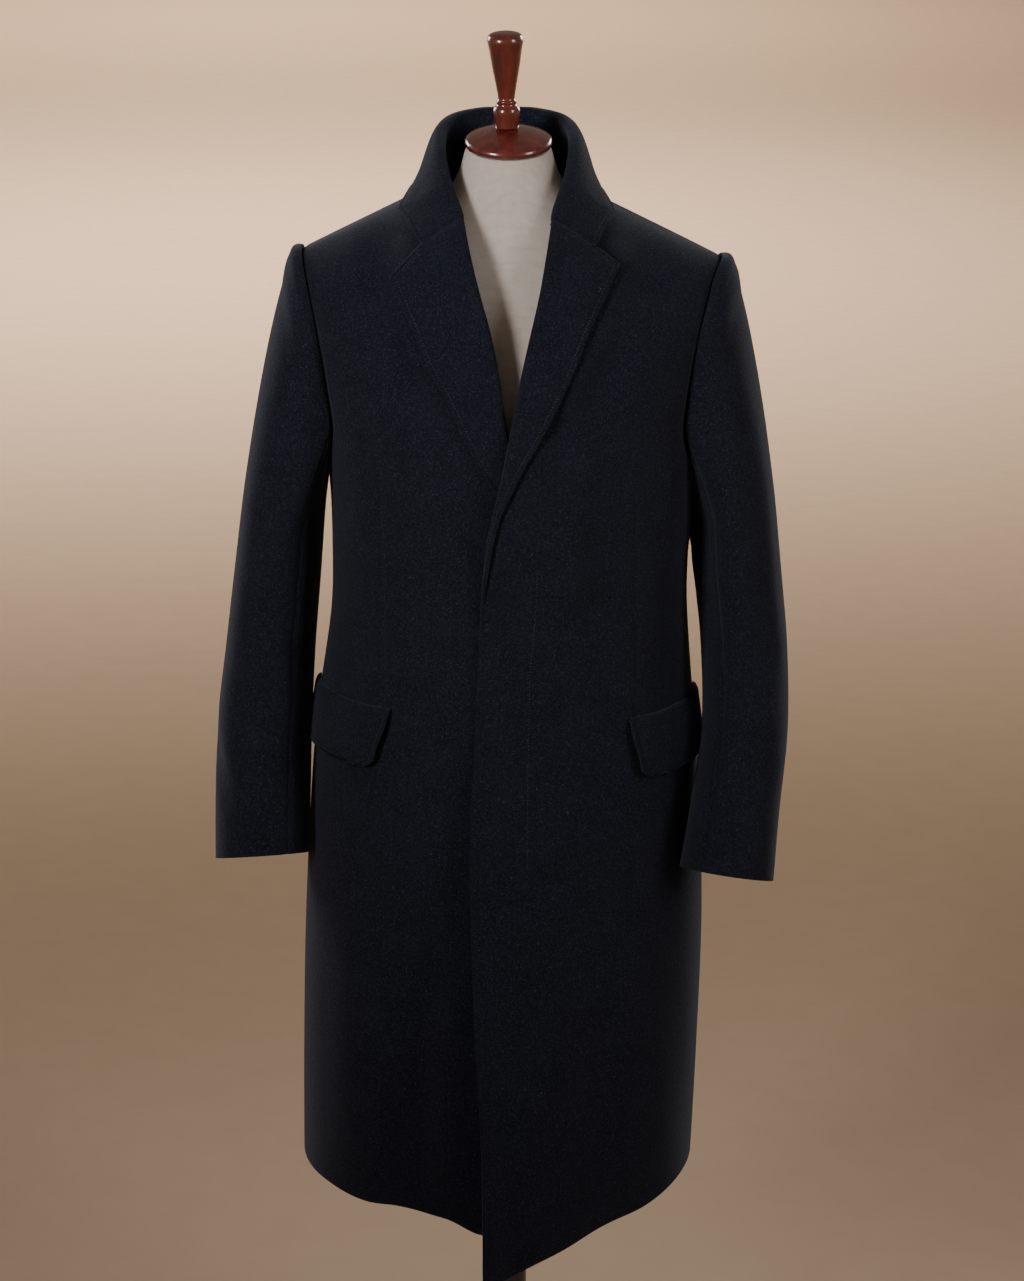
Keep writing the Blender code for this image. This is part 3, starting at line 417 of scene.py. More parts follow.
SLEEVE_GIRTH = 0.062         # distance round a sleeve for each radian of turn
SLEEVE_HEAD_ROWS = 40
SLEEVE_HEAD_CROWD = 1.25     # over 1 crowds the rows of the head towards the armhole
SLEEVE_RING_ROWS = 66
ARMHOLE_COLUMNS = (len(UPPER_ROWS) - 1) * PANEL_STEPS_ABOVE * 2
FOREARM_COLUMN = ARMHOLE_COLUMNS // 3
HIND_COLUMN = 2 * ARMHOLE_COLUMNS // 3
ROPE_HEIGHT = 0.0017
ROPE_INSET = 0.0065
ROPE_REACH = 0.0095
HEAD_FULLNESS = 0.0038       # the shrunk-in ease rounds the head of the sleeve
HEAD_INSET = 0.017
HEAD_REACH = 0.034
ALLOWANCE = 0.0040           # the seam allowance reaches this far each way behind the armhole seam
ALLOWANCE_DEPTH = 0.0042
ALLOWANCE_ROWS = 5
ALLOWANCE_WALL_SHARE = 0.4   # of the cloth's wall
SLEEVE_FOLDS = {             # as FOLDS, for the sleeves
    # in place of x, the distance round the arm from its outside towards the front
    RIGHT: [
        (0.040, 1.330, 0.046, 0.900, 0.004, 0.0034, 0.034),
        (0.128, 1.170, 0.124, 1.030, 0.0, -0.0040, 0.030),
        (0.090, 1.250, 0.098, 0.930, 0.004, -0.0026, 0.026),
        (0.075, 1.075, 0.155, 1.010, 0.006, -0.0030, 0.022),
        (0.060, 1.010, 0.140, 0.965, 0.006, 0.0022, 0.020),
        (0.250, 1.080, 0.330, 1.020, 0.008, -0.0040, 0.026),
        (0.240, 1.020, 0.320, 0.960, 0.006, 0.0026, 0.024),
        (0.350, 1.330, 0.345, 1.120, 0.0, -0.0028, 0.036),
        (0.010, 0.930, 0.060, 0.860, 0.0, -0.0022, 0.026),
        (0.300, 0.930, 0.350, 0.840, 0.0, 0.0024, 0.030),
        (0.190, 1.320, 0.190, 1.215, 0.0, 0.0052, 0.042),
    ],
    LEFT: [
        (0.118, 1.300, 0.112, 0.930, -0.004, 0.0036, 0.030),
        (0.062, 1.280, 0.070, 1.000, 0.004, -0.0026, 0.030),
        (0.156, 1.180, 0.150, 1.030, 0.0, -0.0036, 0.026),
        (0.050, 1.040, 0.130, 0.985, 0.006, -0.0032, 0.024),
        (0.060, 0.975, 0.135, 0.920, 0.006, 0.0026, 0.022),
        (0.040, 0.920, 0.110, 0.870, 0.004, -0.0024, 0.022),
        (0.250, 1.100, 0.330, 1.030, 0.008, -0.0042, 0.026),
        (0.235, 1.030, 0.325, 0.960, 0.006, 0.0028, 0.024),
        (0.352, 1.330, 0.348, 1.110, 0.0, -0.0028, 0.036),
        (0.300, 0.920, 0.350, 0.840, 0.0, 0.0026, 0.030),
        (0.190, 1.330, 0.190, 1.120, 0.0, 0.0068, 0.045),
    ],
}

LAPEL_STEPS = 9
LAPEL_BREAK = {LEFT: (1.078, 1.147), RIGHT: (1.165, 1.205)}
LAPEL_LIFT = 0.0046          # outside of a lapel's edge over the outside of its front
LAPEL_CROWN = 0.0016         # a wide lapel's middle stands out this much more
ROLL_RADIUS = 0.0044
ROLL_LEAST = 0.0015
ROLL_SHARE = 0.62
ROLL_WALL_SHARE = 0.85
ROLL_LEG = 0.0010
LEG_POINTS = 5
ROLL_POINTS = 9
FACE_POINTS = 34
COLLAR_STEPS = 9
COLLAR_THICKNESS = 0.0072    # through leaf and stand at the crest
COLLAR_ROLL_DEPTH = 0.0055
GORGE_BLEND = 1.6            # stations over which the collar turns into the lapel's section
LEAF_END_LEAN = 0.35
LEAF_RISE = 0.17

FLAP_ROWS = 34
FLAP_COLUMNS = 62
FLAP_CORNER = 0.013
FLAP_SWAY = 0.0012
FLAP_TUCK = 0.0110
FLAP_TUCKED = 0.0006
FLAP_CURL = 0.0038
FLAP_CURL_POWER = 3
FLAP_BELLY = 0.0008
FLAP_STAND = 0.0016          # how far the lower edge swings clear of the front
FLAP_LOWER_RELIEF = 0.6      # share of the stitched edge's relief along the lower edge

BUTTONHOLE = ((0.0757, 1.4178), (0.0850, 1.4097))    # its ends on the left lapel
BUTTONHOLE_HALF = 0.0012
PURL_STITCH = (0.0018, 0.0008, 0.0012)
PURL_PITCH = 0.0008

TURNED_STEPS = 3
TORSO_STEPS = 4
TORSO_SIDES = 96
COVER_GIRTH = 0.046          # distance round the neck for each radian
NECK_TILT_FROM = 1.515
CAP_CLEAR = 0.0006
FINIAL_CLEAR = 0.0020

FLOOR_RADIUS = 60.0
AIR_COLOUR = (0.80, 0.68, 0.56)
SOFTBOXES = [                # name, place, target, size, spread in degrees, colour
    ("key", (-2.1, -2.6, 2.15), (-0.05, 0.0, 1.50), (0.75, 0.9), 46.0, (1.0, 0.96, 0.92)),
    ("fill", (2.3, -1.7, 2.2), (0.0, 0.0, 1.40), (0.8, 1.6), 60.0, (1.0, 0.97, 0.94)),
    ("far", (-1.2, 8.0, 6.0), (-1.2, 8.4, 0.0), (6.0, 6.0), 96.0, (1.0, 0.90, 0.80)),
    ("horizon", (-1.8, 18.0, 8.5), (-1.8, 19.0, 0.0), (7.0, 9.0), 110.0, (1.0, 0.87, 0.72)),
    ("back", (2.3, 3.0, 2.3), (0.0, 0.1, 1.15), (1.4, 1.8), 50.0, (1.0, 0.98, 0.95)),
    ("back", (-2.7, 2.6, 2.3), (0.0, 0.1, 1.15), (1.4, 1.8), 50.0, (1.0, 0.98, 0.95)),
    ("room", (0.0, -10.5, 6.0), (0.0, -10.9, 0.0), (16.0, 7.0), 120.0, (1.0, 0.92, 0.84)),
    ("room", (10.5, 0.5, 6.0), (10.9, 0.5, 0.0), (16.0, 7.0), 120.0, (1.0, 0.92, 0.84)),
    ("room", (-10.5, 0.5, 6.0), (-10.9, 0.5, 0.0), (16.0, 7.0), 120.0, (1.0, 0.92, 0.84)),
]


# ---------------------------------------------------------------- reading the tables
def read(table, at, column):
    """The column's value at a place in the first column, on a smooth curve through the rows."""
    places = [row[0] for row in table]
    if at <= places[0]:
        return table[0][column]
    if at >= places[-1]:
        return table[-1][column]
    upper = next(i for i, place in enumerate(places) if place >= at)
    lower = upper - 1

    def slope(i):
        low, high = max(i - 1, 0), min(i + 1, len(table) - 1)
        return (table[high][column] - table[low][column]) / (places[high] - places[low])

    gap = places[upper] - places[lower]
    t = (at - places[lower]) / gap
    start, end = table[lower][column], table[upper][column]
    return ((2 * t**3 - 3 * t**2 + 1) * start + (t**3 - 2 * t**2 + t) * gap * slope(lower)
            + (3 * t**2 - 2 * t**3) * end + (t**3 - t**2) * gap * slope(upper))


def curve(table, column):
    """A function that reads a column at many places at once."""
    places = np.linspace(table[0][0], table[-1][0], CURVE_STEPS)
    values = [read(table, place, column) for place in places]
    return lambda at: np.interp(at, places, values)


def through(rows, places):
    """All the columns of some rows, read at row numbers with fractions."""
    numbered = [(i, *row) for i, row in enumerate(rows)]
    return np.array([[read(numbered, place, column + 1) for column in range(len(rows[0]))]
                     for place in places])


def ease(low, high, value):
    """0 up to low, 1 from high on, with a smooth step between."""
    t = np.clip((value - low) / (high - low), 0.0, 1.0)
    return t * t * (3 - 2 * t)


def bell(distance, width):
    """1 at no distance, falling smoothly to 0 at the width."""
    t = np.clip(np.abs(distance) / width, 0.0, 1.0)
    return (1 - t * t) ** 2


def unit(vectors):
    return vectors / np.maximum(np.linalg.norm(vectors, axis=-1, keepdims=True), 1e-12)


def distances(points, axis=1):
    """Lengths along the rows (axis 1) or the columns (axis 0) of a grid, from its first point."""
    steps = np.linalg.norm(np.diff(points, axis=axis), axis=2)
    return np.insert(np.cumsum(steps, axis=axis), 0, 0.0, axis=axis)


# ---------------------------------------------------------------- the coat's body
BODY = {column: curve(BODY_SECTIONS, column)
        for column in (RIGHT_HALF, LEFT_HALF, FRONT_DEPTH, BACK_DEPTH)}
SWING = {LEFT: curve(FRONT_SWING, 1), RIGHT: curve(FRONT_SWING, 2)}
FRONT_PUSH = curve(OVERLAP_PUSH, 1)
BACK_PUSH = curve(VENT_PUSH, 1)


def half_width(x, z):
    """The body's half width at a height, on the side that x is on."""
    return np.where(x < 0, BODY[RIGHT_HALF](z), BODY[LEFT_HALF](z))


def shoulder_line(x):
    """Height of the shoulder seam's line at x, rounded over behind the neck."""
    out = np.abs(x)
    out = np.where(out < NECK_ROUND, out * out / (2 * NECK_ROUND) + NECK_ROUND / 2, out)
    right, left = (height + (reach - out) * SHOULDER_SLOPE
                   for reach, height in (SHOULDER_POINT[RIGHT], SHOULDER_POINT[LEFT]))
    return right + (left - right) * ease(-NECK_POINT_X, NECK_POINT_X, x)


def roundness(share):
    return np.maximum(1.0 - np.minimum(np.abs(share), 1.0) ** SECTION_POWER, 0.0) ** (1 / SECTION_POWER)


def body_y(x, z, face):
    """The body's y at a place seen from the front or the back."""
    depth = BODY[FRONT_DEPTH if face == FRONT else BACK_DEPTH](z)
    drop = np.clip((shoulder_line(x) - z) / SHOULDER_ROLL, 0.0, 1.0)
    return SEAM_Y + face * depth * roundness(x / half_width(x, z)) * np.sqrt(1 - (1 - drop) ** 2)


def shoulder_top(x, y):
    """The body's height over a place near the neck."""
    z = shoulder_line(x)
    depth = np.where(y < SEAM_Y, BODY[FRONT_DEPTH](z), BODY[BACK_DEPTH](z))
    reach = np.abs(y - SEAM_Y) / (depth * roundness(x / half_width(x, z)))
    return z - SHOULDER_ROLL * (1 - np.sqrt(1 - np.minimum(reach, 0.999) ** 2))


def front_lift(side, x, z, inward):
    """How far a front stands out of the body's surface: its swing and its overlap."""
    lift = SWING[side](z) * inward ** 2
    if side == LEFT:
        lift = lift + FRONT_PUSH(z) * (1 - ease(*OVERLAP_FADE, x))
    return lift


def upper_row(row, side):
    """Side height, front edge and centre back of a row over the armpit."""
    _, top = SHOULDER_POINT[side]
    side_z = ARMPIT_HEIGHT + row[RISE] * (top - ARMPIT_HEIGHT)
    if row[LEFT_X] is None:
        neck = (side * NECK_POINT_X, float(shoulder_line(side * NECK_POINT_X)))
        return side_z, neck, neck
    edge = (row[LEFT_X], row[LEFT_Z]) if side == LEFT else (row[RIGHT_X], row[RIGHT_Z])
    return side_z, edge, (side * row[CENTRE_X], row[CENTRE_Z])


def panel_rows(side, face):
    """Inner x, inner height, side height and share of the half width, for each row."""
    rows = []
    for row in LOWER_ROWS:
        if face == FRONT:
            edge_x = row[LEFT_EDGE_X] if side == LEFT else row[RIGHT_EDGE_X]
            rows.append((edge_x, row[EDGE_HEIGHT] or FRONT_HEM_CORNER[side], row[SIDE_HEIGHT], 1.0))
        else:
            inner_x = row[VENT_X] if side == RIGHT else 0.0
            rows.append((inner_x, row[SIDE_HEIGHT], row[SIDE_HEIGHT], 1.0))
    for row in UPPER_ROWS:
        side_z, edge, centre = upper_row(row, side)
        share = row[FRONT_SHARE if face == FRONT else BACK_SHARE]
        share = share or SHOULDER_POINT[side][0] / float(half_width(side, side_z))
        rows.append((*(edge if face == FRONT else centre), side_z, share))
    return rows


def panel_line(row, side, face, turns):
    """Points across a panel along one of its rows; turns run from 0 inside to 1 at the side."""
    start_x, start_z, side_z, share = row
    reach = float(half_width(side, side_z))
    end_x = side * min(share, 1.0) * reach
    first, last = math.asin(start_x / reach), math.asin(max(min(end_x / reach, 1.0), -1.0))
    x = reach * np.sin(first + (last - first) * turns)
    along = (x - start_x) / (end_x - start_x)
    z = start_z + (side_z - start_z) * along
    y = body_y(x, z, face)
    if face == FRONT:
        y = y - front_lift(side, x, z, 1 - along)
    elif side == LEFT:
        y = y + BACK_PUSH(z) * (1 - ease(*OVERLAP_FADE, x))
    return np.stack((x, y, z), axis=-1)


def front_edges(side):
    rows = [(row[EDGE_HEIGHT], row[LEFT_EDGE_X] if side == LEFT else row[RIGHT_EDGE_X])
            for row in LOWER_ROWS[1:]]
    return rows + [upper_row(row, side)[1][::-1] for row in UPPER_ROWS[:-2]]


FRONT_EDGE_X = {side: curve(front_edges(side), 1) for side in (RIGHT, LEFT)}


def on_front(side, x, z):
    """Points on a front's outside, and its normals there."""
    def surface(u, w):
        edge = FRONT_EDGE_X[side](w)
        inward = 1 - (u - edge) / (side * half_width(side + 0 * u, w) - edge)
        return np.stack((u, body_y(u, w, FRONT) - front_lift(side, u, w, inward), w), axis=-1)

    across = surface(x + NORMAL_STEP, z) - surface(x - NORMAL_STEP, z)
    along = surface(x, z + NORMAL_STEP) - surface(x, z - NORMAL_STEP)
    return surface(x, z), unit(np.cross(across, along))


# ---------------------------------------------------------------- grids of cloth
def spread(length, places, count):
    """Distances of columns across a row, close together near the places that need them."""
    fine = np.linspace(0.0, length, CURVE_STEPS)
    spacing = np.full(CURVE_STEPS, COLUMN_FAR)
    for place in places:
        spacing = np.minimum(spacing, COLUMN_NEAR + COLUMN_GROWTH * np.abs(fine - place))
    amount = np.insert(np.cumsum(2 / (spacing[1:] + spacing[:-1])), 0, 0.0)
    return np.interp(np.linspace(0.0, amount[-1], count), amount, fine)


def lengths(line):
    """Length along a line of points up to each of them."""
    return np.insert(np.cumsum(np.linalg.norm(np.diff(line, axis=0), axis=1)), 0, 0.0)


def read_points(at, steps, points):
    """Points read at some lengths along a line whose own points lie at the given steps."""
    return np.stack([np.interp(at, steps, points[:, axis]) for axis in range(3)], axis=-1)


def resample(line, at):
    """A line of points read at distances from its start."""
    return read_points(at, lengths(line), line)


def draw_back(lines, edge, inner):
    """Draws one edge of a grid in by half of a seam's gap."""
    lines[edge] += unit(lines[inner] - lines[edge]) * SEAM_GAP / 2


def grid_normals(grid, outward, closed=False):
    """Outward normals of a grid; closed grids wrap round their columns."""
    across = np.roll(grid, -1, 1) - np.roll(grid, 1, 1) if closed else np.gradient(grid, axis=1)
    return unit(np.cross(across, np.gradient(grid, axis=0)) * outward)


def edge_distances(grid):
    """Distance of each point of a grid from the edge in its last column, square to that edge."""
    along = unit(np.gradient(grid[:, -1], axis=0))
    across = unit(grid[:, -1] - grid[:, -4])
    slant = np.clip(np.linalg.norm(np.cross(along, across), axis=1), EDGE_SLANT_LEAST, 1.0)
    row = distances(grid)
    return (row[:, -1:] - row) * slant[:, None]


def inset_line(grid, normals, inset):
    """The line on a grid at one distance inside the edge in its last column."""
    away = edge_distances(grid)[:, ::-1]
    grid, normals = grid[:, ::-1], normals[:, ::-1]
    line = [[np.interp(inset, away[i], values[i, :, axis]) for axis in range(3)]
            for values in (grid, normals) for i in range(len(grid))]
    return np.array(line[:len(grid)]), np.array(line[len(grid):])


def fold_heights(folds, u, v):
    """Heights of soft ridges and troughs, each on a bowed line from its start to its end."""
    total = np.zeros_like(u)
    for start_u, start_v, end_u, end_v, bow, height, width in folds:
        run_u, run_v = end_u - start_u, end_v - start_v
        length = math.hypot(run_u, run_v)
        along = ((u - start_u) * run_u + (v - start_v) * run_v) / length ** 2
        inside = np.clip(along, 0.0, 1.0)
        off = ((v - start_v) * run_u - (u - start_u) * run_v) / length - bow * 4 * inside * (1 - inside)
        away = np.hypot(off, (along - inside) * length)
        total += height * bell(away, width) * (1 - FOLD_END_FADE * (2 * inside - 1) ** 4)
    return total


def seam_relief(away):
    """The dip of the cloth at a sewn edge."""
    return -SEAM_DIP * bell(away, SEAM_DIP_REACH)


def edge_relief(away):
    """The stitched line inside a free edge, and the edge's puff outside it."""
    return (-STITCH_DIP * bell(away - STITCH_INSET, STITCH_DIP_REACH)
            + EDGE_PUFF * bell(away - EDGE_PUFF_INSET, EDGE_PUFF_REACH))


# ---------------------------------------------------------------- fronts and backs
def row_places(steps_below, steps_above):
    first = len(LOWER_ROWS)
    last = first + len(UPPER_ROWS) - 1
    below = [i / steps_below for i in range(first * steps_below)]
    return below + [first + i / steps_above for i in range((last - first) * steps_above + 1)]


def line_x(rows, z):
    """X of a line that is given by (height, x) rows, lowest first."""
    return np.interp(z, [row[0] for row in rows], [row[1] for row in rows])


def panel_grid(side, face):
    """A panel's fine grid, before its relief; its columns gather at edges, darts and stitching."""
    places = row_places(PANEL_STEPS_BELOW, PANEL_STEPS_ABOVE)
    lines = ([DARTS[side]] + ([FLY_LINE] if side == LEFT else [])) if face == FRONT else []
    rows = []
    for row in through(panel_rows(side, face), places):
        dense = panel_line(row, side, face, np.linspace(0.0, 1.0, CURVE_STEPS))
        steps = lengths(dense)
        trim = roll_trim(side, row[1]) if face == FRONT else 0.0
        marks = [np.interp(0.0, side * (dense[:, 0] - line_x(line, dense[:, 2])), steps) for line in lines]
        at = spread(steps[-1] - trim, [0.0, steps[-1] - trim] + [mark - trim for mark in marks],
                    PANEL_COLUMNS) + trim
        rows.append(resample(dense, at))
    return np.array(rows), np.array(places)


def roll_trim(side, z):
    """How far a front stops short of its roll line, where the lapel's roll takes its place."""
    low, high = LAPEL_BREAK[side]
    return (ROLL_RADIUS + ROLL_LEG + SEAM_GAP) * float(ease(low, high, z))


def panel_relief(side, face, grid):
    """Heights of a panel's folds, seams, stitched edge, dart and fly over its plain grid."""
    x, z = grid[..., 0], grid[..., 2]
    from_inner = distances(grid)
    from_side = from_inner[:, -1:] - from_inner
    up = distances(grid, axis=0)
    from_top = up[-1:] - up
    relief = fold_heights(FOLDS[side, face], x, z)
    clear = ease(0.0, FOLD_CLEAR, np.minimum(from_side, from_top))
    if face == FRONT and side == RIGHT:
        clear = clear * (1 - ease(*UNDER_LEFT_FRONT, x))
    relief = relief * clear + seam_relief(from_side) + seam_relief(from_top)
    if face == BACK:
        centre = from_inner if side == LEFT else np.abs(x) + from_inner * (grid[:, :1, 0] > SEAM_GAP)
        sewn = ease(VENT_TOP, VENT_TOP + VENT_FADE, z)
        relief = relief + seam_relief(centre) * sewn + edge_relief(from_inner) * (1 - sewn) * (side == LEFT)
    else:
        relief = relief + edge_relief(from_inner) * (1 - ease(*LAPEL_BREAK[side], z))
        low, high = DART_ENDS[side]
        fade = ease(low - DART_FADE, low, z) * (1 - ease(high - DART_FADE, high, z))
        relief = relief - DART_DIP * fade * bell(x - line_x(DARTS[side], z), DART_REACH)
        if side == LEFT:
            fade = ease(FLY_LINE[0][0] - FLY_FADE, FLY_LINE[0][0], z) * (1 - ease(*FLY_TOP, z))
            relief = relief - FLY_DIP * fade * bell(x - line_x(FLY_LINE, z), FLY_REACH)
    return relief


def shape_hem(side, face, grid):
    """The hem's own wave, which fades out up the panel."""
    x, z = grid[..., 0], grid[..., 2]
    up = distances(grid, axis=0)
    drop = np.zeros_like(x)
    for middle, height, width in HEM_WAVES[side, face]:
        drop += height * bell(x - middle, width)
    if face == FRONT and side == RIGHT:
        drop -= HEM_DIP * ease(*HEM_DIP_ENDS, x)
    grid[..., 2] = z + drop * (1 - ease(0.0, HEM_WAVE_REACH, up))
    return grid


def make_panel(name, side, face):
    grid, places = panel_grid(side, face)
    grid = shape_hem(side, face, grid)
    outward = side if face == FRONT else -side
    normals = grid_normals(grid, outward)
    grid = grid + normals * panel_relief(side, face, grid)[..., None]
    sewn = places <= len(LOWER_ROWS)
    grid[sewn, -1] += unit(grid[sewn, -2] - grid[sewn, -1]) * SEAM_GAP / 2
    draw_back(grid, -1, -2)
    if face == BACK:
        draw_back(grid.transpose(1, 0, 2), 0, 1)
    return sheet_object(name + "_cloth", grid, outward)


# ---------------------------------------------------------------- sleeves
def armhole(side):
    """The armhole's edge from the shoulder point down the front, and up the back."""
    edges = {}
    for face in (FRONT, BACK):
        rows = through(panel_rows(side, face), [place for place in
                       row_places(PANEL_STEPS_BELOW, PANEL_STEPS_ABOVE) if place >= len(LOWER_ROWS)])
        edges[face] = [panel_line(row, side, face, np.array([1.0]))[0] for row in rows]
    return np.array(edges[FRONT][::-1] + edges[BACK][1:-1])


def sleeve_rings(rings, side, turns):
    """Points of sleeve rings; turn 0 is outwards and a quarter turn is forwards."""
    rings = np.atleast_2d(rings)[:, :, None]
    out = rings[:, RING_HALF] * np.cos(turns)
    forward = rings[:, RING_DEPTH] * np.sin(turns)
    z = rings[:, RING_Z] - rings[:, LEAN_OUT] * out + rings[:, LEAN_FORWARD] * forward
    return np.stack((side * (rings[:, RING_X] + out), rings[:, RING_Y] - forward, z), axis=-1)


def sleeve_grid(side):
    edge = armhole(side)
    steps = np.linalg.norm(np.roll(edge, -1, 0) - edge, axis=1)
    turns = 2 * math.pi * np.insert(np.cumsum(steps)[:-1], 0, 0.0) / steps.sum()
    sections = SLEEVE_SECTIONS[side]
    start = edge + np.array((side * SLEEVE_HEAD_CLEAR, 0.0, 0.0))
    end, below = sleeve_rings(sections[0], side, turns)[0], sleeve_rings(sections[1], side, turns)[0]
    top = (1 + np.cos(turns)) / 2
    leave = unit(np.stack((side * (0.06 + 0.94 * top) * top ** 0.5, -0.25 * np.sin(turns),
                           0.28 * top**3 - (1 - top)), axis=-1))
    reach = np.linalg.norm(end - start, axis=1)[:, None]
    leave = leave * reach * SLEEVE_HEAD_ROPE
    arrive = unit(below - end) * reach * SLEEVE_HEAD_DROP
    rows = []
    for step in range(SLEEVE_HEAD_ROWS):
        t = (step / SLEEVE_HEAD_ROWS) ** SLEEVE_HEAD_CROWD
        rows.append((2 * t**3 - 3 * t**2 + 1) * start + (t**3 - 2 * t**2 + t) * leave
                    + (3 * t**2 - 2 * t**3) * end + (t**3 - t**2) * arrive)
    rings = through(sections, np.linspace(0, len(sections) - 1, SLEEVE_RING_ROWS))
    return np.concatenate((np.array(rows), sleeve_rings(rings, side, turns))), turns


def sleeve_relief(side, grid, turns):
    down = distances(grid, axis=0)
    top = ease(0.35, 0.85, (1 + np.cos(turns)) / 2)
    relief = (ROPE_HEIGHT * top * bell(down - ROPE_INSET, ROPE_REACH)
              + HEAD_FULLNESS * top * bell(down - HEAD_INSET, HEAD_REACH) + seam_relief(down))
    girth = SLEEVE_GIRTH * turns + 0 * down
    around = 2 * math.pi * SLEEVE_GIRTH
    folds = sum(fold_heights(SLEEVE_FOLDS[side], girth + shift, grid[..., 2])
                for shift in (-around, 0.0, around))
    relief = relief + folds * ease(0.0, FOLD_CLEAR, down) * (1 - ease(0.0, 0.02, down - down[-1:]))
    for seam in (turns[FOREARM_COLUMN], turns[HIND_COLUMN]):
        relief = relief + seam_relief(SLEEVE_GIRTH * (turns - seam))
    return relief


def sleeve_allowance(side):
    """The seam allowance inside an armhole: a narrow band behind the seam, in rows like the sleeve's."""
    edge = armhole(side) + np.array((side * SLEEVE_HEAD_CLEAR, 0.0, 0.0))
    along = np.roll(edge, -1, 0) - np.roll(edge, 1, 0)
    outward = unit(np.cross(along, (1.0, 0.0, 0.0)))
    outward *= np.sign(np.sum(outward * (edge - edge.mean(axis=0)), axis=1))[:, None]
    under = edge - outward * ALLOWANCE_DEPTH
    return np.array([under + np.array((side * reach, 0.0, 0.0))
                     for reach in np.linspace(-ALLOWANCE, ALLOWANCE, ALLOWANCE_ROWS)])


def make_sleeve(side):
    """The top and the under sleeve of one side."""
    grid, turns = sleeve_grid(side)
    normals = grid_normals(grid, side, closed=True)
    grid = grid + normals * sleeve_relief(side, grid, turns)[..., None]
    count = len(turns)
    where = SIDE_NAME[side]
    chosen = {
        "sleeve_top_": [j % count for j in range(HIND_COLUMN - count, FOREARM_COLUMN + 1)],
        "sleeve_under_": list(range(FOREARM_COLUMN, HIND_COLUMN + 1)),
    }
    pieces = []
    for name, columns in chosen.items():
        part = grid[:, columns]
        for edge, inner in ((0, 1), (-1, -2)):
            draw_back(part.transpose(1, 0, 2), edge, inner)
        sleeve = sheet_object(name + where + "_cloth", part, side)
        band = sleeve_allowance(side)[:, columns]
        allowance = sheet_object(name + where + "_allowance", band, side,
                                 walls=np.full(band.shape[:2], ALLOWANCE_WALL_SHARE))
        alone(sleeve)
        allowance.select_set(True)
        bpy.ops.object.join()
        pieces.append(sleeve)
    return pieces


# ---------------------------------------------------------------- lapels
def lapel_rows(side, places):
    """Roll height, edge height and edge x up a lapel; the edge turns sharply at its peak."""
    table = LAPEL_ROWS[side]
    peak = len(table) - 2
    curved = through(table[:-1], np.minimum(places, peak))
    t = np.clip(places - peak, 0.0, 1.0)[:, None]
    return np.where(places[:, None] <= peak, curved, curved * (1 - t) + np.array(table[-1]) * t)


def lapel_profile(side, row):
    """Points across a lapel: the leg under its roll, the roll, and the face out to the edge."""
    roll_z, edge_z, edge_x = row
    roll_x = float(FRONT_EDGE_X[side](roll_z))
    width = math.dist((roll_x, roll_z), (edge_x, edge_z))
    radius = min(max(ROLL_SHARE * width, ROLL_LEAST), ROLL_RADIUS)
    top = 2 * radius - CLOTH_WALL
    t = np.linspace(radius / width, 1.0, FACE_POINTS)
    face, out = on_front(side, roll_x + (edge_x - roll_x) * t, roll_z + (edge_z - roll_z) * t)
    lift = top + (min(LAPEL_LIFT, top) - top) * t + LAPEL_CROWN * np.sin(math.pi * t) * (width / 0.09)
    face = face + out * lift[:, None]
    line, normal = on_front(side, np.array([roll_x]), np.array([roll_z]))
    across = unit(face[1] - face[0])
    turn = np.linspace(-0.5 * math.pi, 0.5 * math.pi, ROLL_POINTS)[:-1, None]
    roll = (line[0] + across * radius * (1 - np.cos(turn))
            + normal[0] * (top - radius + radius * np.sin(turn)))
    leg = roll[0] + across * ROLL_LEG * np.linspace(1.0, 0.0, LEG_POINTS)[:-1, None]
    return np.concatenate((leg, roll, face)), min(1.0, ROLL_WALL_SHARE * radius / CLOTH_WALL)


def make_lapel(side):
    count = (len(LAPEL_ROWS[side]) - 1) * LAPEL_STEPS + 1
    lines = [lapel_profile(side, row)
             for row in lapel_rows(side, np.linspace(0, len(LAPEL_ROWS[side]) - 1, count))]
    grid = np.array([line for line, _ in lines])
    walls = np.array([np.full(len(line), wall) for line, wall in lines])
    normals = grid_normals(grid, side)
    up = distances(grid, axis=0)
    relief = edge_relief(edge_distances(grid)) + seam_relief(up[-1:] - up)
    relief = relief + fold_heights(LAPEL_FOLDS[side], grid[..., 0], grid[..., 2])
    grid = grid + normals * relief[..., None] * ease(0.006, 0.012, distances(grid))[..., None]
    draw_back(grid, -1, -2)
    name = "lapel_" + SIDE_NAME[side]
    piece = sheet_object(name + "_cloth", grid, side, walls=walls)
    stitch_edge("pick_stitches_" + name, grid, grid_normals(grid, side))
    return piece


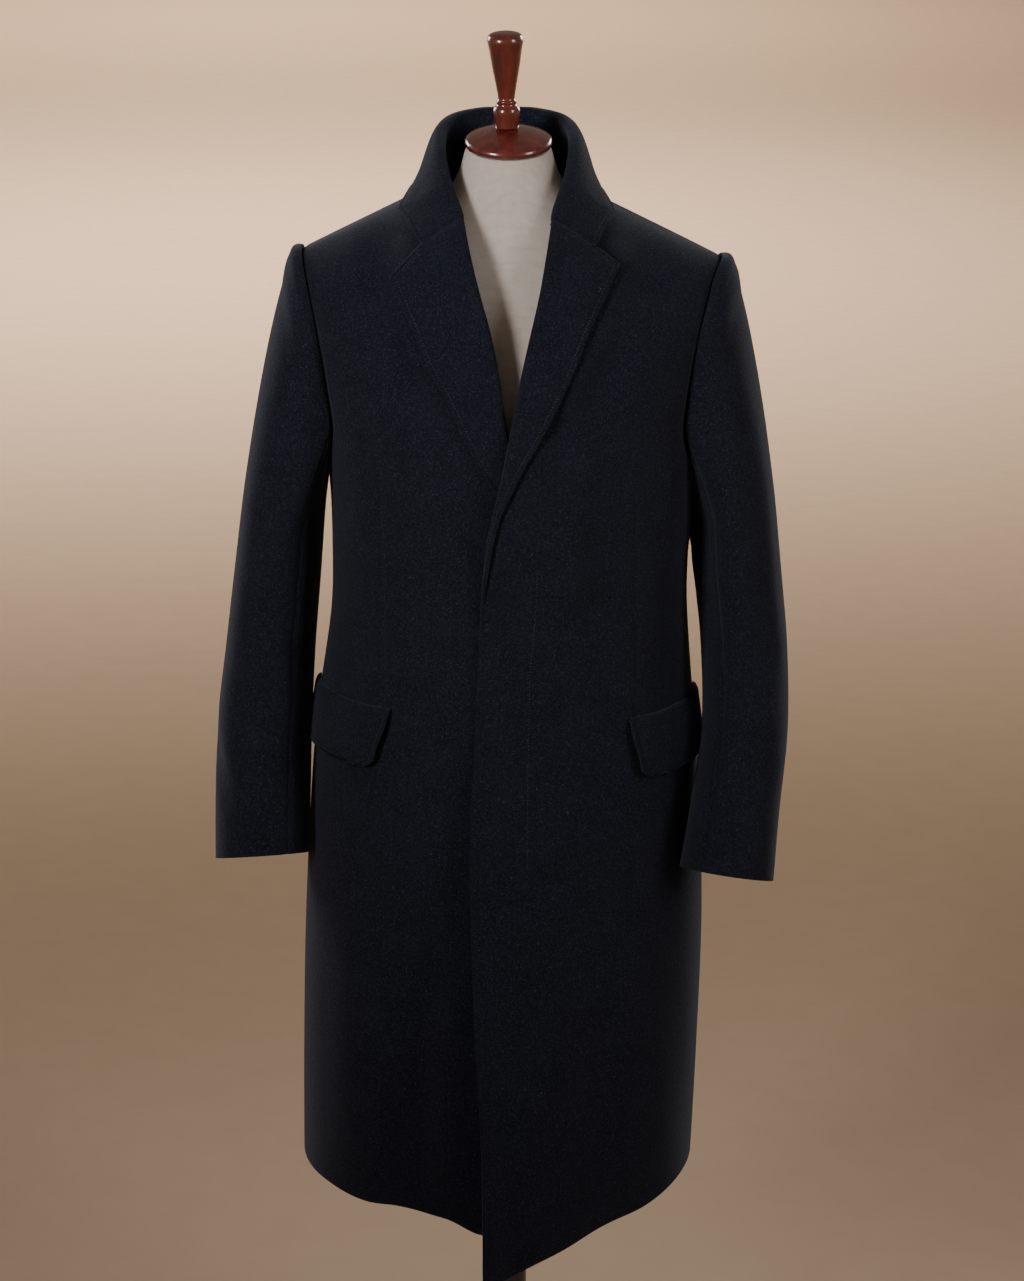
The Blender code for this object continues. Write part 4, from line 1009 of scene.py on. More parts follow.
# ---------------------------------------------------------------- the collar
def collar_lines(places):
    """Crest, neck seam and fall edge round the neck, from the right gorge to the left one."""
    whole = [(RIGHT, row) for row in COLLAR_STATIONS[::-1]] + [(LEFT, row) for row in COLLAR_STATIONS[1:]]
    crests, seams, falls = [], [], []
    for side, row in whole:
        crests.append((COLLAR_MIDDLE_X + side * row[CREST_X], row[CREST_Y], row[CREST_Z]))
        seams.append((COLLAR_MIDDLE_X + side * row[SEAM_X], row[SEAM_IN_Y]))
        falls.append((COLLAR_MIDDLE_X + side * row[FALL_X], row[FALL_Y]))
    last = len(whole) - 1
    first_tip = last // 2 - TIP_STATION
    fall = np.empty((len(places), 2))
    for low, high in ((0, first_tip), (first_tip, last - first_tip), (last - first_tip, last)):
        inside = (places >= low) & (places <= high)
        fall[inside] = through(falls[low:high + 1], places[inside] - low)
    crest, seam = through(crests, places), through(seams, places)
    seam = np.column_stack((seam, shoulder_top(*seam.T)))
    fall = np.column_stack((fall, shoulder_top(*fall.T)))
    return crest, seam, fall


def collar_grid():
    """Rows run from the stand's foot over the roll to the fall edge, columns round the neck."""
    last = 2 * (len(COLLAR_STATIONS) - 1)
    places = np.linspace(0, last, last * COLLAR_STEPS + 1)
    crest, seam, fall = collar_lines(places)
    along = np.gradient(crest, axis=0)
    out = unit(np.column_stack((-along[:, 1], along[:, 0], 0 * along[:, 0])))
    up = np.array((0.0, 0.0, 1.0))
    end = fall + unit(out * LEAF_END_LEAN + up) * LEAF_LIFT
    reach = np.linalg.norm(crest - end, axis=1)[:, None]
    near = crest + unit(out + up * LEAF_RISE) * reach * LEAF_ROLL
    far = end + (crest - end) * LEAF_HANG + out * reach * LEAF_BELLY
    rows = []
    foot = seam - out * (STAND_FOOT_IN + CLOTH_WALL) + up * STAND_FOOT_UP
    top = crest - out * COLLAR_THICKNESS - up * COLLAR_ROLL_DEPTH
    for t in np.linspace(0.0, 1.0, LEG_POINTS)[:-1]:
        rows.append(foot + (top - foot) * t)
    for turn in np.linspace(0.0, 0.5 * math.pi, ROLL_POINTS)[:-1]:
        rows.append(top + out * COLLAR_THICKNESS * (1 - math.cos(turn))
                    + up * COLLAR_ROLL_DEPTH * math.sin(turn))
    for t in np.linspace(0.0, 1.0, FACE_POINTS):
        rows.append((1 - t) ** 3 * crest + 3 * (1 - t) ** 2 * t * near
                    + 3 * (1 - t) * t * t * far + t**3 * end)
    grid = np.array(rows)
    for side, away in ((RIGHT, places), (LEFT, last - places)):
        gorge, _ = lapel_profile(side, LAPEL_ROWS[side][-1])
        share = (1 - ease(0.0, GORGE_BLEND, away))[None, :, None]
        grid = grid * (1 - share) + gorge[:, None, :] * share
    return grid


def make_collar():
    grid = collar_grid()
    normals = grid_normals(grid, 1)
    away = edge_distances(grid.transpose(1, 0, 2)).T
    ends = distances(grid)
    ends = np.minimum(ends, ends[:, -1:] - ends)
    rows = distances(grid, axis=0)
    relief = edge_relief(away) * ease(0.02, 0.03, rows) + seam_relief(ends) * ease(0.004, 0.012, rows)
    relief = relief + fold_heights(COLLAR_FOLDS, grid[..., 0], grid[..., 1]) * ease(0.01, 0.03, away)
    grid = grid + normals * relief[..., None]
    for edge, inner in ((0, 1), (-1, -2)):
        draw_back(grid.transpose(1, 0, 2), edge, inner)
    piece = sheet_object("collar_cloth", grid, 1)
    stitch_edge("pick_stitches_collar", grid.transpose(1, 0, 2), normals.transpose(1, 0, 2))
    return piece


# ---------------------------------------------------------------- pocket flaps
def make_flap(side):
    top, bottom, top_x, bottom_x = FLAPS[side]
    panel = panel_rows(side, FRONT)[1:len(LOWER_ROWS)]
    by_height = [(row[2], *row) for row in panel]
    turns = np.linspace(0.0, 1.0, CURVE_STEPS)
    rows, lifts = [], []
    for t in 0.5 - 0.5 * np.cos(np.linspace(0.0, math.pi, FLAP_ROWS)):
        z = bottom + (top - bottom) * t
        row = (read(by_height, z, 1), z, z, 1.0)
        line = panel_line(row, side, FRONT, turns)
        steps = lengths(line)
        front_x = bottom_x + (top_x - bottom_x) * t + FLAP_SWAY * math.sin(2 * math.pi * t)
        start = np.interp(front_x, side * line[:, 0], steps)
        above = z - bottom
        if above < FLAP_CORNER:
            start += FLAP_CORNER - math.sqrt(FLAP_CORNER ** 2 - (FLAP_CORNER - above) ** 2)
        end = FLAP_END * steps[-1]
        at = start + spread(end - start, [0.0, end - start], FLAP_COLUMNS)
        rows.append(resample(line, at))
        s = (at - start) / (end - start)
        tuck = math.sqrt(max(1 - max(1 - (top - z) / FLAP_TUCK, 0.0) ** 2, 0.0))
        curl = FLAP_CURL * (1 - s) ** FLAP_CURL_POWER * (1 - t ** 2)
        stand = FLAP_STAND * (1 - t) ** 2 + FLAP_BELLY * math.sin(math.pi * t)
        lifts.append(FLAP_TUCKED + (FLAP_LIFT - FLAP_TUCKED) * tuck + curl + stand)
    grid = np.array(rows)
    lifts = np.array(lifts) + fold_heights(FOLDS[side, FRONT], grid[..., 0], grid[..., 2])
    grid = grid + grid_normals(grid, side) * lifts[..., None]
    normals = grid_normals(grid, side)
    lower = grid.transpose(1, 0, 2)[:, ::-1]
    front = grid[:, ::-1]
    relief = (edge_relief(edge_distances(front)[:, ::-1])
              + FLAP_LOWER_RELIEF * edge_relief(edge_distances(lower)[:, ::-1].T))
    grid = grid + normals * relief[..., None]
    return sheet_object("pocket_flap_" + SIDE_NAME[side] + "_cloth", grid, side)


# ---------------------------------------------------------------- sheets and stitches
def sheet_object(name, grid, outward, walls=None):
    """A cloth wall with rounded edges on a grid of its outside, with the underside's finish inside."""
    rows, columns = grid.shape[:2]
    index = np.arange(rows * columns).reshape(rows, columns)
    corners = (index[:-1, :-1], index[:-1, 1:], index[1:, 1:], index[1:, :-1])
    faces = np.stack([corner.ravel() for corner in corners], axis=1)
    if outward < 0:
        faces = faces[:, ::-1]
    mesh = bpy.data.meshes.new(name)
    mesh.from_pydata(grid.reshape(-1, 3).tolist(), [], faces.tolist())
    flat = np.stack((distances(grid), distances(grid, axis=0)), axis=-1).reshape(-1, 2)
    mesh.uv_layers.new(name="cloth").data.foreach_set("uv", flat[faces.ravel()].ravel())
    piece = bpy.data.objects.new(name, mesh)
    bpy.context.scene.collection.objects.link(piece)
    mesh.materials.append(wool_material())
    mesh.materials.append(underside_material())
    wall = piece.modifiers.new("wall", "SOLIDIFY")
    wall.thickness = bpy.context.scene.overcoat_cloth.wall
    wall.offset = -1.0
    wall.material_offset = 1
    wall.material_offset_rim = 0
    if walls is not None:
        group = piece.vertex_groups.new(name="wall")
        for i, weight in enumerate(walls.ravel().tolist()):
            group.add([i], weight, "REPLACE")
        wall.vertex_group = "wall"
        wall.thickness_vertex_group = 0.0
    rounding = piece.modifiers.new("rounded edges", "BEVEL")
    rounding.width = bpy.context.scene.overcoat_cloth.edge_rounding
    rounding.segments = 2
    rounding.limit_method = "ANGLE"
    rounding.angle_limit = math.radians(50)
    apply_modifiers(piece)
    piece.data.shade_smooth()
    return piece


def apply_modifiers(piece):
    alone(piece)
    for modifier in list(piece.modifiers):
        bpy.ops.object.modifier_apply(modifier=modifier.name)


def alone(piece):
    """Leaves only this piece selected and active."""
    if bpy.context.mode != "OBJECT":
        bpy.ops.object.mode_set(mode="OBJECT")
    bpy.ops.object.select_all(action="DESELECT")
    piece.select_set(True)
    bpy.context.view_layer.objects.active = piece


def place_copies(name, model, frames, material):
    """One mesh of many copies of a small model, each turned into its own frame."""
    vertices = np.array([vertex.co for vertex in model.data.vertices])
    faces = [list(polygon.vertices) for polygon in model.data.polygons]
    points = [origin + vertices @ np.array((along, across, out)) for origin, along, across, out in frames]
    mesh = bpy.data.meshes.new(name)
    mesh.from_pydata(np.concatenate(points).tolist(), [],
                     [[i + copy * len(vertices) for i in face]
                      for copy in range(len(frames)) for face in faces])
    piece = bpy.data.objects.new(name, mesh)
    bpy.context.scene.collection.objects.link(piece)
    mesh.materials.append(material)
    mesh.shade_smooth()
    bpy.data.objects.remove(model)
    return piece


def stitch_model(length, width, height):
    """One stitch, its middle at the origin along X."""
    bpy.ops.object.select_all(action="DESELECT")
    bpy.ops.mesh.primitive_uv_sphere_add(segments=8, ring_count=5, radius=0.5)
    stitch = bpy.context.object
    bpy.ops.object.mode_set(mode="EDIT")
    bpy.ops.mesh.select_all(action="SELECT")
    bpy.ops.transform.resize(value=(length, width, height))
    bpy.ops.object.mode_set(mode="OBJECT")
    return stitch


def stitch_frames(line, normals, pitch, lift):
    """Frames at an even pitch along a line on the cloth."""
    steps = lengths(line)
    at = np.arange(pitch, steps[-1] - pitch / 2, pitch)
    points = read_points(at, steps, line)
    out = unit(read_points(at, steps, normals))
    ahead = read_points(at + pitch / 2, steps, line)
    along = unit(ahead - points)
    across = unit(np.cross(out, along))
    return [(point + normal * lift, a, b, normal)
            for point, a, b, normal in zip(points, along, across, out)]


def stitch_edge(name, grid, normals):
    """Pick stitches inside the edge in a grid's last column."""
    line, out = inset_line(grid, normals, STITCH_INSET)
    frames = stitch_frames(line, out, STITCH_PITCH, STITCH_LIFT)
    piece = place_copies(name, stitch_model(*PICK_STITCH), frames, thread_material())
    return ride_as(piece, "navy_wool")


# ---------------------------------------------------------------- the buttonhole and the fly's stitches
def lapel_surface(x, z):
    """Points on the left lapel's outside, and its normals."""
    points, out = on_front(LEFT, x, z)
    return points + out * (LAPEL_LIFT + LAPEL_CROWN * 0.5), out


def make_buttonhole():
    """Purl stitches on both sides of a short slit."""
    (start_x, start_z), (end_x, end_z) = BUTTONHOLE
    length = math.dist(*BUTTONHOLE)
    count = round(2 * length / PURL_PITCH)
    frames = []
    for edge in (-1, 1):
        for t in np.linspace(0.0, 1.0, count // 2):
            x = start_x + (end_x - start_x) * t - edge * BUTTONHOLE_HALF * (end_z - start_z) / length
            z = start_z + (end_z - start_z) * t + edge * BUTTONHOLE_HALF * (end_x - start_x) / length
            point, out = lapel_surface(np.array([x]), np.array([z]))
            along = np.array((end_x - start_x, 0.0, end_z - start_z)) / length
            along = unit(along - out[0] * (along @ out[0]))
            frames.append((point[0], np.cross(out[0], along) * edge, along, out[0]))
    piece = place_copies("buttonhole", stitch_model(*PURL_STITCH), frames, thread_material())
    return ride_as(piece, "navy_wool")


def make_fly_stitches():
    z = np.linspace(FLY_LINE[1][0], FLY_STITCH_TOP, FLY_POINTS)
    x = line_x(FLY_LINE, z)
    line, out = on_front(LEFT, x, z)
    frames = stitch_frames(line, out, STITCH_PITCH, STITCH_LIFT - FLY_DIP)
    piece = place_copies("fly_stitches", stitch_model(*PICK_STITCH), frames, thread_material())
    return ride_as(piece, "navy_wool")


# ---------------------------------------------------------------- the dress form and its stand
def turned(name, profile, sides, material, place=(0.0, 0.0, 0.0), tilt=0.0, lean=0.0):
    """A turned piece, drawn up ring by ring from its foot."""
    rings = through(profile, np.linspace(0, len(profile) - 1, (len(profile) - 1) * TURNED_STEPS + 1))
    bpy.ops.object.select_all(action="DESELECT")
    bpy.ops.mesh.primitive_circle_add(vertices=sides, radius=rings[0][0], fill_type="NGON",
                                      location=(0.0, 0.0, rings[0][1]))
    piece = bpy.context.object
    piece.name = name
    bpy.ops.object.mode_set(mode="EDIT")
    bpy.ops.mesh.select_all(action="SELECT")
    for (radius, z), (next_radius, next_z) in zip(rings, rings[1:]):
        bpy.ops.mesh.extrude_region_move(TRANSFORM_OT_translate={"value": (0.0, 0.0, next_z - z)})
        size = next_radius / radius
        bpy.ops.transform.resize(value=(size, size, 1.0), center_override=(0.0, 0.0, next_z))
    bpy.ops.mesh.select_all(action="SELECT")
    bpy.ops.mesh.normals_make_consistent(inside=False)
    bpy.ops.object.mode_set(mode="OBJECT")
    bpy.ops.object.transform_apply(location=True, rotation=False, scale=False)
    piece.location = place
    piece.rotation_euler = (tilt, lean, 0.0)
    bpy.ops.object.transform_apply(location=True, rotation=True, scale=False)
    bpy.ops.object.shade_smooth_by_angle(angle=math.radians(40))
    piece.data.materials.append(material)
    return piece


def make_torso():
    """The covered torso and neck, drawn up section by section from its underside."""
    steps = np.linspace(0, len(TORSO_SECTIONS) - 1, (len(TORSO_SECTIONS) - 1) * TORSO_STEPS + 1)
    rings = through(TORSO_SECTIONS, steps)
    bpy.ops.object.select_all(action="DESELECT")
    bpy.ops.mesh.primitive_circle_add(vertices=TORSO_SIDES, radius=1.0, fill_type="NGON",
                                      location=(0.0, 0.0, TORSO_BOTTOM))
    piece = bpy.context.object
    piece.name = "form_cover"
    bpy.ops.object.mode_set(mode="EDIT")
    bpy.ops.mesh.select_all(action="SELECT")
    before, middle = (TORSO_BOTTOM, 1.0, 1.0, 1.0), np.array((0.0, 0.0, TORSO_BOTTOM))
    for i, (z, half, front, back) in enumerate(rings):
        move = np.array((NECK_X * float(ease(1.40, 1.50, z)), (back - front) / 2, z))
        if i == 0:
            bpy.ops.transform.translate(value=tuple(move - middle))
        else:
            bpy.ops.mesh.extrude_region_move(TRANSFORM_OT_translate={"value": tuple(move - middle)})
        size = (half / before[1], (front + back) / (before[2] + before[3]), 1.0)
        bpy.ops.transform.resize(value=size, center_override=tuple(move))
        before, middle = (z, half, front, back), move
    bpy.ops.mesh.select_all(action="SELECT")
    bpy.ops.mesh.normals_make_consistent(inside=False)
    bpy.ops.object.mode_set(mode="OBJECT")
    bpy.ops.object.transform_apply(location=True, rotation=False, scale=False)
    tilt_neck(piece)
    bpy.ops.object.shade_smooth_by_angle(angle=math.radians(50))
    wrap_uv(piece)
    piece.data.materials.append(cover_material())
    return piece


def tilt_neck(piece):
    """Lets the neck's top fall towards the front."""
    for vertex in piece.data.vertices:
        share = float(ease(NECK_TILT_FROM, NECK_TOP_HEIGHT, vertex.co.z))
        vertex.co.z += NECK_TILT * vertex.co.y * share


def wrap_uv(piece):
    """UV in metres round and up the form, with its join at the back."""
    mesh = piece.data
    layer = mesh.uv_layers.new(name="cloth") if not mesh.uv_layers else mesh.uv_layers[0]
    for polygon in mesh.polygons:
        turns = [math.atan2(mesh.vertices[i].co.x, -mesh.vertices[i].co.y) for i in polygon.vertices]
        if max(turns) - min(turns) > math.pi:
            turns = [turn + 2 * math.pi if turn < 0 else turn for turn in turns]
        for loop, i, turn in zip(polygon.loop_indices, polygon.vertices, turns):
            layer.data[loop].uv = (turn * COVER_GIRTH, mesh.vertices[i].co.z)


# ---------------------------------------------------------------- shader groups
def add_node(tree, kind, place, **settings):
    node = tree.nodes.new("ShaderNode" + kind)
    node.location = place
    for name, value in settings.items():
        setattr(node, name, value)
    return node


def effect_group(name, inputs, outputs):
    """An empty shader group with named inputs and outputs, and its two end nodes."""
    group = bpy.data.node_groups.new(name, "ShaderNodeTree")
    for label, kind, value in inputs:
        socket = group.interface.new_socket(name=label, in_out="INPUT", socket_type="NodeSocket" + kind)
        if value is not None:
            socket.default_value = value
    for label, kind in outputs:
        group.interface.new_socket(name=label, in_out="OUTPUT", socket_type="NodeSocket" + kind)
    start = group.nodes.new("NodeGroupInput")
    start.location = (-900, 0)
    end = group.nodes.new("NodeGroupOutput")
    end.location = (900, 0)
    return group, start, end


def noise_in(group, vector, scale, detail, roughness, place):
    noise = add_node(group, "TexNoise", place)
    noise.inputs["Detail"].default_value = detail
    noise.inputs["Roughness"].default_value = roughness
    if isinstance(scale, (int, float)):
        noise.inputs["Scale"].default_value = scale
    else:
        group.links.new(scale, noise.inputs["Scale"])
    group.links.new(vector, noise.inputs["Vector"])
    return noise.outputs["Fac"]


def math_in(group, operation, first, second, place):
    node = add_node(group, "Math", place, operation=operation)
    for socket, value in zip(node.inputs, (first, second)):
        if isinstance(value, (int, float)):
            socket.default_value = value
        elif value is not None:
            group.links.new(value, socket)
    return node.outputs[0]


def map_in(group, value, low, high, to_low, to_high, place):
    node = add_node(group, "MapRange", place, clamp=True)
    for name, number in (("From Min", low), ("From Max", high), ("To Min", to_low), ("To Max", to_high)):
        node.inputs[name].default_value = number
    group.links.new(value, node.inputs["Value"])
    return node.outputs["Result"]


def mix_in(group, share, first, second, place):
    """A mix of two colours, which may be values or sockets."""
    node = add_node(group, "Mix", place, data_type="RGBA")
    sockets = {s.identifier: s for s in node.inputs}
    for name, value in (("Factor_Float", share), ("A_Color", first), ("B_Color", second)):
        if isinstance(value, (int, float, tuple)):
            sockets[name].default_value = value
        else:
            group.links.new(value, sockets[name])
    return next(s for s in node.outputs if s.identifier == "Result_Color")


def melton_group():
    """Felted, heathered wool: mottles of two shades, pale flecks and a short nap."""
    group, start, end = effect_group(
        "felted melton",
        [("Vector", "Vector", None), ("Ground", "Color", (0.01, 0.01, 0.02, 1.0)),
         ("Heather", "Color", (0.02, 0.02, 0.04, 1.0)), ("Fleck", "Color", (0.08, 0.08, 0.12, 1.0)),
         ("Fleck Amount", "Float", 0.5)],
        [("Color", "Color"), ("Roughness", "Float"), ("Height", "Float")])
    vector = start.outputs["Vector"]
    mottle = noise_in(group, vector, 460.0, 2.0, 0.55, (-600, 300))
    broad = noise_in(group, vector, 26.0, 3.0, 0.55, (-600, 60))
    fleck = noise_in(group, vector, 640.0, 2.0, 0.55, (-600, -180))
    fibre = noise_in(group, vector, 1900.0, 2.0, 0.7, (-600, -420))
    share = map_in(group, mottle, 0.44, 0.70, 0.0, 1.0, (-350, 300))
    shade = map_in(group, broad, 0.30, 0.70, 0.0, 0.22, (-350, 60))
    share = math_in(group, "ADD", share, shade, (-150, 200))
    colour = mix_in(group, share, start.outputs["Ground"], start.outputs["Heather"], (50, 300))
    spots = map_in(group, fleck, 0.60, 0.72, 0.0, 1.0, (-350, -180))
    spots = math_in(group, "MULTIPLY", spots, start.outputs["Fleck Amount"], (-100, -120))
    colour = mix_in(group, spots, colour, start.outputs["Fleck"], (250, 200))
    group.links.new(colour, end.inputs["Color"])
    rough = map_in(group, mottle, 0.3, 0.7, 0.86, 0.98, (250, -50))
    group.links.new(rough, end.inputs["Roughness"])
    nap = math_in(group, "MULTIPLY", fibre, 0.45, (-350, -420))
    felt = math_in(group, "ADD", mottle, nap, (-100, -350))
    felt = math_in(group, "ADD", felt, math_in(group, "MULTIPLY", broad, 0.6, (-100, -520)), (100, -400))
    group.links.new(felt, end.inputs["Height"])
    return group


def plain_weave_group():
    """Over-and-under threads of one pitch, for a vector in metres on the cloth."""
    group, start, end = effect_group(
        "plain weave",
        [("Vector", "Vector", None), ("Thread Pitch", "Float", 0.0006),
         ("Warp", "Color", (0.6, 0.5, 0.4, 1.0)), ("Weft", "Color", (0.5, 0.4, 0.3, 1.0))],
        [("Color", "Color"), ("Roughness", "Float"), ("Height", "Float")])
    vector, pitch = start.outputs["Vector"], start.outputs["Thread Pitch"]
    wobble = add_node(group, "TexNoise", (-900, -300))
    wobble.inputs["Scale"].default_value = 60.0
    group.links.new(vector, wobble.inputs["Vector"])
    shift = add_node(group, "VectorMath", (-700, -300), operation="SCALE")
    shift.inputs["Scale"].default_value = 0.0012
    group.links.new(wobble.outputs["Color"], shift.inputs[0])
    moved = add_node(group, "VectorMath", (-500, -100), operation="ADD")
    group.links.new(vector, moved.inputs[0])
    group.links.new(shift.outputs[0], moved.inputs[1])
    parts = add_node(group, "SeparateXYZ", (-300, 0))
    group.links.new(moved.outputs[0], parts.inputs[0])
    waves = []
    for i, axis in enumerate(("X", "Y")):
        turns = math_in(group, "DIVIDE", parts.outputs[axis], pitch, (-150, 200 - 300 * i))
        turns = math_in(group, "MULTIPLY", turns, math.pi, (0, 200 - 300 * i))
        waves.append(math_in(group, "SINE", turns, None, (150, 200 - 300 * i)))
    over = math_in(group, "MULTIPLY", waves[0], waves[1], (300, 100))
    over = map_in(group, over, -0.15, 0.15, 0.0, 1.0, (450, 100))
    ridges = [math_in(group, "ABSOLUTE", wave, None, (300, -100 - 100 * i)) for i, wave in enumerate(waves)]
    warp = math_in(group, "MULTIPLY", ridges[0], over, (500, -100))
    under = math_in(group, "SUBTRACT", 1.0, over, (500, -250))
    weft = math_in(group, "MULTIPLY", ridges[1], under, (650, -250))
    height = math_in(group, "ADD", warp, weft, (750, -150))
    slub = noise_in(group, vector, 140.0, 4.0, 0.6, (300, 420))
    colour = mix_in(group, over, start.outputs["Warp"], start.outputs["Weft"], (600, 250))
    dark = mix_in(group, map_in(group, slub, 0.3, 0.7, 0.0, 0.35, (500, 420)), colour,
                  (0.30, 0.26, 0.22, 1.0), (750, 350))
    group.links.new(dark, end.inputs["Color"])
    group.links.new(map_in(group, slub, 0.3, 0.7, 0.78, 0.92, (700, 500)), end.inputs["Roughness"])
    group.links.new(height, end.inputs["Height"])
    return group


def turned_grain_group():
    """Wood grain that runs up a turned piece, under polish."""
    group, start, end = effect_group(
        "turned wood grain",
        [("Vector", "Vector", None), ("Light Wood", "Color", (0.2, 0.05, 0.03, 1.0)),
         ("Dark Wood", "Color", (0.06, 0.01, 0.006, 1.0))],
        [("Color", "Color"), ("Roughness", "Float"), ("Height", "Float")])
    stretch = add_node(group, "Mapping", (-700, 0))
    stretch.inputs["Scale"].default_value = (1.0, 1.0, 0.12)
    group.links.new(start.outputs["Vector"], stretch.inputs["Vector"])
    vector = stretch.outputs["Vector"]
    figure = noise_in(group, vector, 70.0, 4.0, 0.6, (-450, 200))
    pores = noise_in(group, vector, 620.0, 2.0, 0.6, (-450, -50))
    share = map_in(group, figure, 0.32, 0.68, 0.0, 1.0, (-200, 200))
    colour = mix_in(group, share, start.outputs["Light Wood"], start.outputs["Dark Wood"], (50, 200))
    dark = map_in(group, pores, 0.60, 0.72, 0.0, 0.55, (-200, -50))
    colour = mix_in(group, dark, colour, start.outputs["Dark Wood"], (300, 150))
    group.links.new(colour, end.inputs["Color"])
    group.links.new(map_in(group, figure, 0.3, 0.7, 0.20, 0.34, (300, -50)), end.inputs["Roughness"])
    group.links.new(pores, end.inputs["Height"])
    return group


def handling_group():
    """Soft smudges and fine dust on a smooth surface."""
    group, start, end = effect_group(
        "handling marks",
        [("Vector", "Vector", None), ("Clean", "Color", (0.02, 0.02, 0.02, 1.0)),
         ("Dusty", "Color", (0.06, 0.06, 0.06, 1.0)), ("Smooth", "Float", 0.3), ("Rough", "Float", 0.6)],
        [("Color", "Color"), ("Roughness", "Float"), ("Height", "Float")])
    vector = start.outputs["Vector"]
    smudge = noise_in(group, vector, 14.0, 5.0, 0.62, (-450, 200))
    speck = noise_in(group, vector, 900.0, 2.0, 0.5, (-450, -50))
    share = map_in(group, smudge, 0.38, 0.70, 0.0, 1.0, (-200, 200))
    dust = math_in(group, "MULTIPLY", share, map_in(group, speck, 0.4, 0.7, 0.3, 1.0, (-200, -50)), (0, 50))
    group.links.new(mix_in(group, dust, start.outputs["Clean"], start.outputs["Dusty"], (250, 150)),
                    end.inputs["Color"])
    rough = add_node(group, "MapRange", (250, -100), clamp=True)
    group.links.new(share, rough.inputs["Value"])
    group.links.new(start.outputs["Smooth"], rough.inputs["To Min"])
    group.links.new(start.outputs["Rough"], rough.inputs["To Max"])
    group.links.new(rough.outputs["Result"], end.inputs["Roughness"])
    group.links.new(speck, end.inputs["Height"])
    return group


GROUPS = {
    "felted melton": melton_group,
    "plain weave": plain_weave_group,
    "turned wood grain": turned_grain_group,
    "handling marks": handling_group,
}


def surface(name, effect, values, depth, reach, coordinates="Object", **sockets):
    """A Principled material whose colour, roughness and bump come from an effect group."""
    if name in bpy.data.materials:
        return bpy.data.materials[name]
    if effect not in bpy.data.node_groups:
        GROUPS[effect]()
    material = bpy.data.materials.new(name)
    material.use_nodes = True
    tree = material.node_tree
    shader = tree.nodes["Principled BSDF"]
    place = add_node(tree, "TexCoord", (-1000, 0))
    look = add_node(tree, "Group", (-700, 0), node_tree=bpy.data.node_groups[effect])
    tree.links.new(place.outputs[coordinates], look.inputs["Vector"])
    for label, value in values.items():
        look.inputs[label].default_value = value
    tree.links.new(look.outputs["Color"], shader.inputs["Base Color"])
    tree.links.new(look.outputs["Roughness"], shader.inputs["Roughness"])
    bump = add_node(tree, "Bump", (-350, -250))
    bump.inputs["Strength"].default_value = depth
    bump.inputs["Distance"].default_value = reach
    tree.links.new(look.outputs["Height"], bump.inputs["Height"])
    tree.links.new(bump.outputs["Normal"], shader.inputs["Normal"])
    for label, value in sockets.items():
        shader.inputs[label.replace("_", " ")].default_value = value
    return material


def rgba(colour, share=1.0):
    return (*(share * part for part in colour), 1.0)


def wool_material():
    cloth = bpy.context.scene.overcoat_cloth
    return surface("navy_melton", "felted melton",
                   {"Ground": rgba(cloth.wool), "Heather": rgba(cloth.heather), "Fleck": rgba(cloth.fleck),
                    "Fleck Amount": 0.55},
                   0.55, 0.0009, Sheen_Weight=0.13, Sheen_Roughness=0.45,
                   Sheen_Tint=(0.66, 0.72, 0.92, 1.0), Specular_IOR_Level=0.08)


def underside_material():
    cloth = bpy.context.scene.overcoat_cloth
    return surface("navy_melton_inside", "felted melton",
                   {"Ground": rgba(cloth.wool, 0.7), "Heather": rgba(cloth.heather, 0.7),
                    "Fleck": rgba(cloth.heather), "Fleck Amount": 0.3},
                   0.40, 0.0006, Sheen_Weight=0.06, Sheen_Roughness=0.45,
                   Sheen_Tint=(0.66, 0.72, 0.92, 1.0), Specular_IOR_Level=0.08)


def thread_material():
    cloth = bpy.context.scene.overcoat_cloth
    return surface("navy_silk_thread", "handling marks",
                   {"Clean": rgba(cloth.heather, 1.3), "Dusty": rgba(cloth.fleck), "Smooth": 0.42,
                    "Rough": 0.60},
                   0.3, 0.0001, Sheen_Weight=0.2, Specular_IOR_Level=0.45)


def cover_material():
    form = bpy.context.scene.overcoat_form
    return surface("form_cover_weave", "plain weave",
                   {"Thread Pitch": form.thread_pitch, "Warp": rgba(form.cover),
                    "Weft": rgba(form.cover, 0.9)},
                   0.5, 0.0003, coordinates="UV", Sheen_Weight=0.15, Specular_IOR_Level=0.25)


def wood_material():
    form = bpy.context.scene.overcoat_form
    return surface("polished_mahogany", "turned wood grain",
                   {"Light Wood": rgba(form.wood), "Dark Wood": rgba(form.wood, 0.35)},
                   0.12, 0.0001, Coat_Weight=0.8, Coat_Roughness=0.08, Specular_IOR_Level=0.5)


def metal_material():
    return surface("black_lacquered_metal", "handling marks",
                   {"Clean": (0.012, 0.012, 0.013, 1.0), "Dusty": (0.030, 0.029, 0.028, 1.0),
                    "Smooth": 0.28, "Rough": 0.46},
                   0.10, 0.0001, Metallic=0.0, Coat_Weight=0.3, Coat_Roughness=0.25)


def floor_material():
    studio = bpy.context.scene.overcoat_studio
    return surface("studio_floor", "handling marks",
                   {"Clean": rgba(studio.floor), "Dusty": rgba(studio.floor, 0.94), "Smooth": 0.7,
                    "Rough": 0.85},
                   0.05, 0.0002, Specular_IOR_Level=0.2)


# ---------------------------------------------------------------- riding and replacing
def ride_as(piece, slot, *replaced):
    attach(piece, "root")
    if replaced:
        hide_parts(*replaced)
    return piece


def declare_cloth(piece, replaced):
    """Attaches a sheet of the coat to the root and hides the parts it replaces."""
    ride_as(piece, "navy_wool", *replaced)


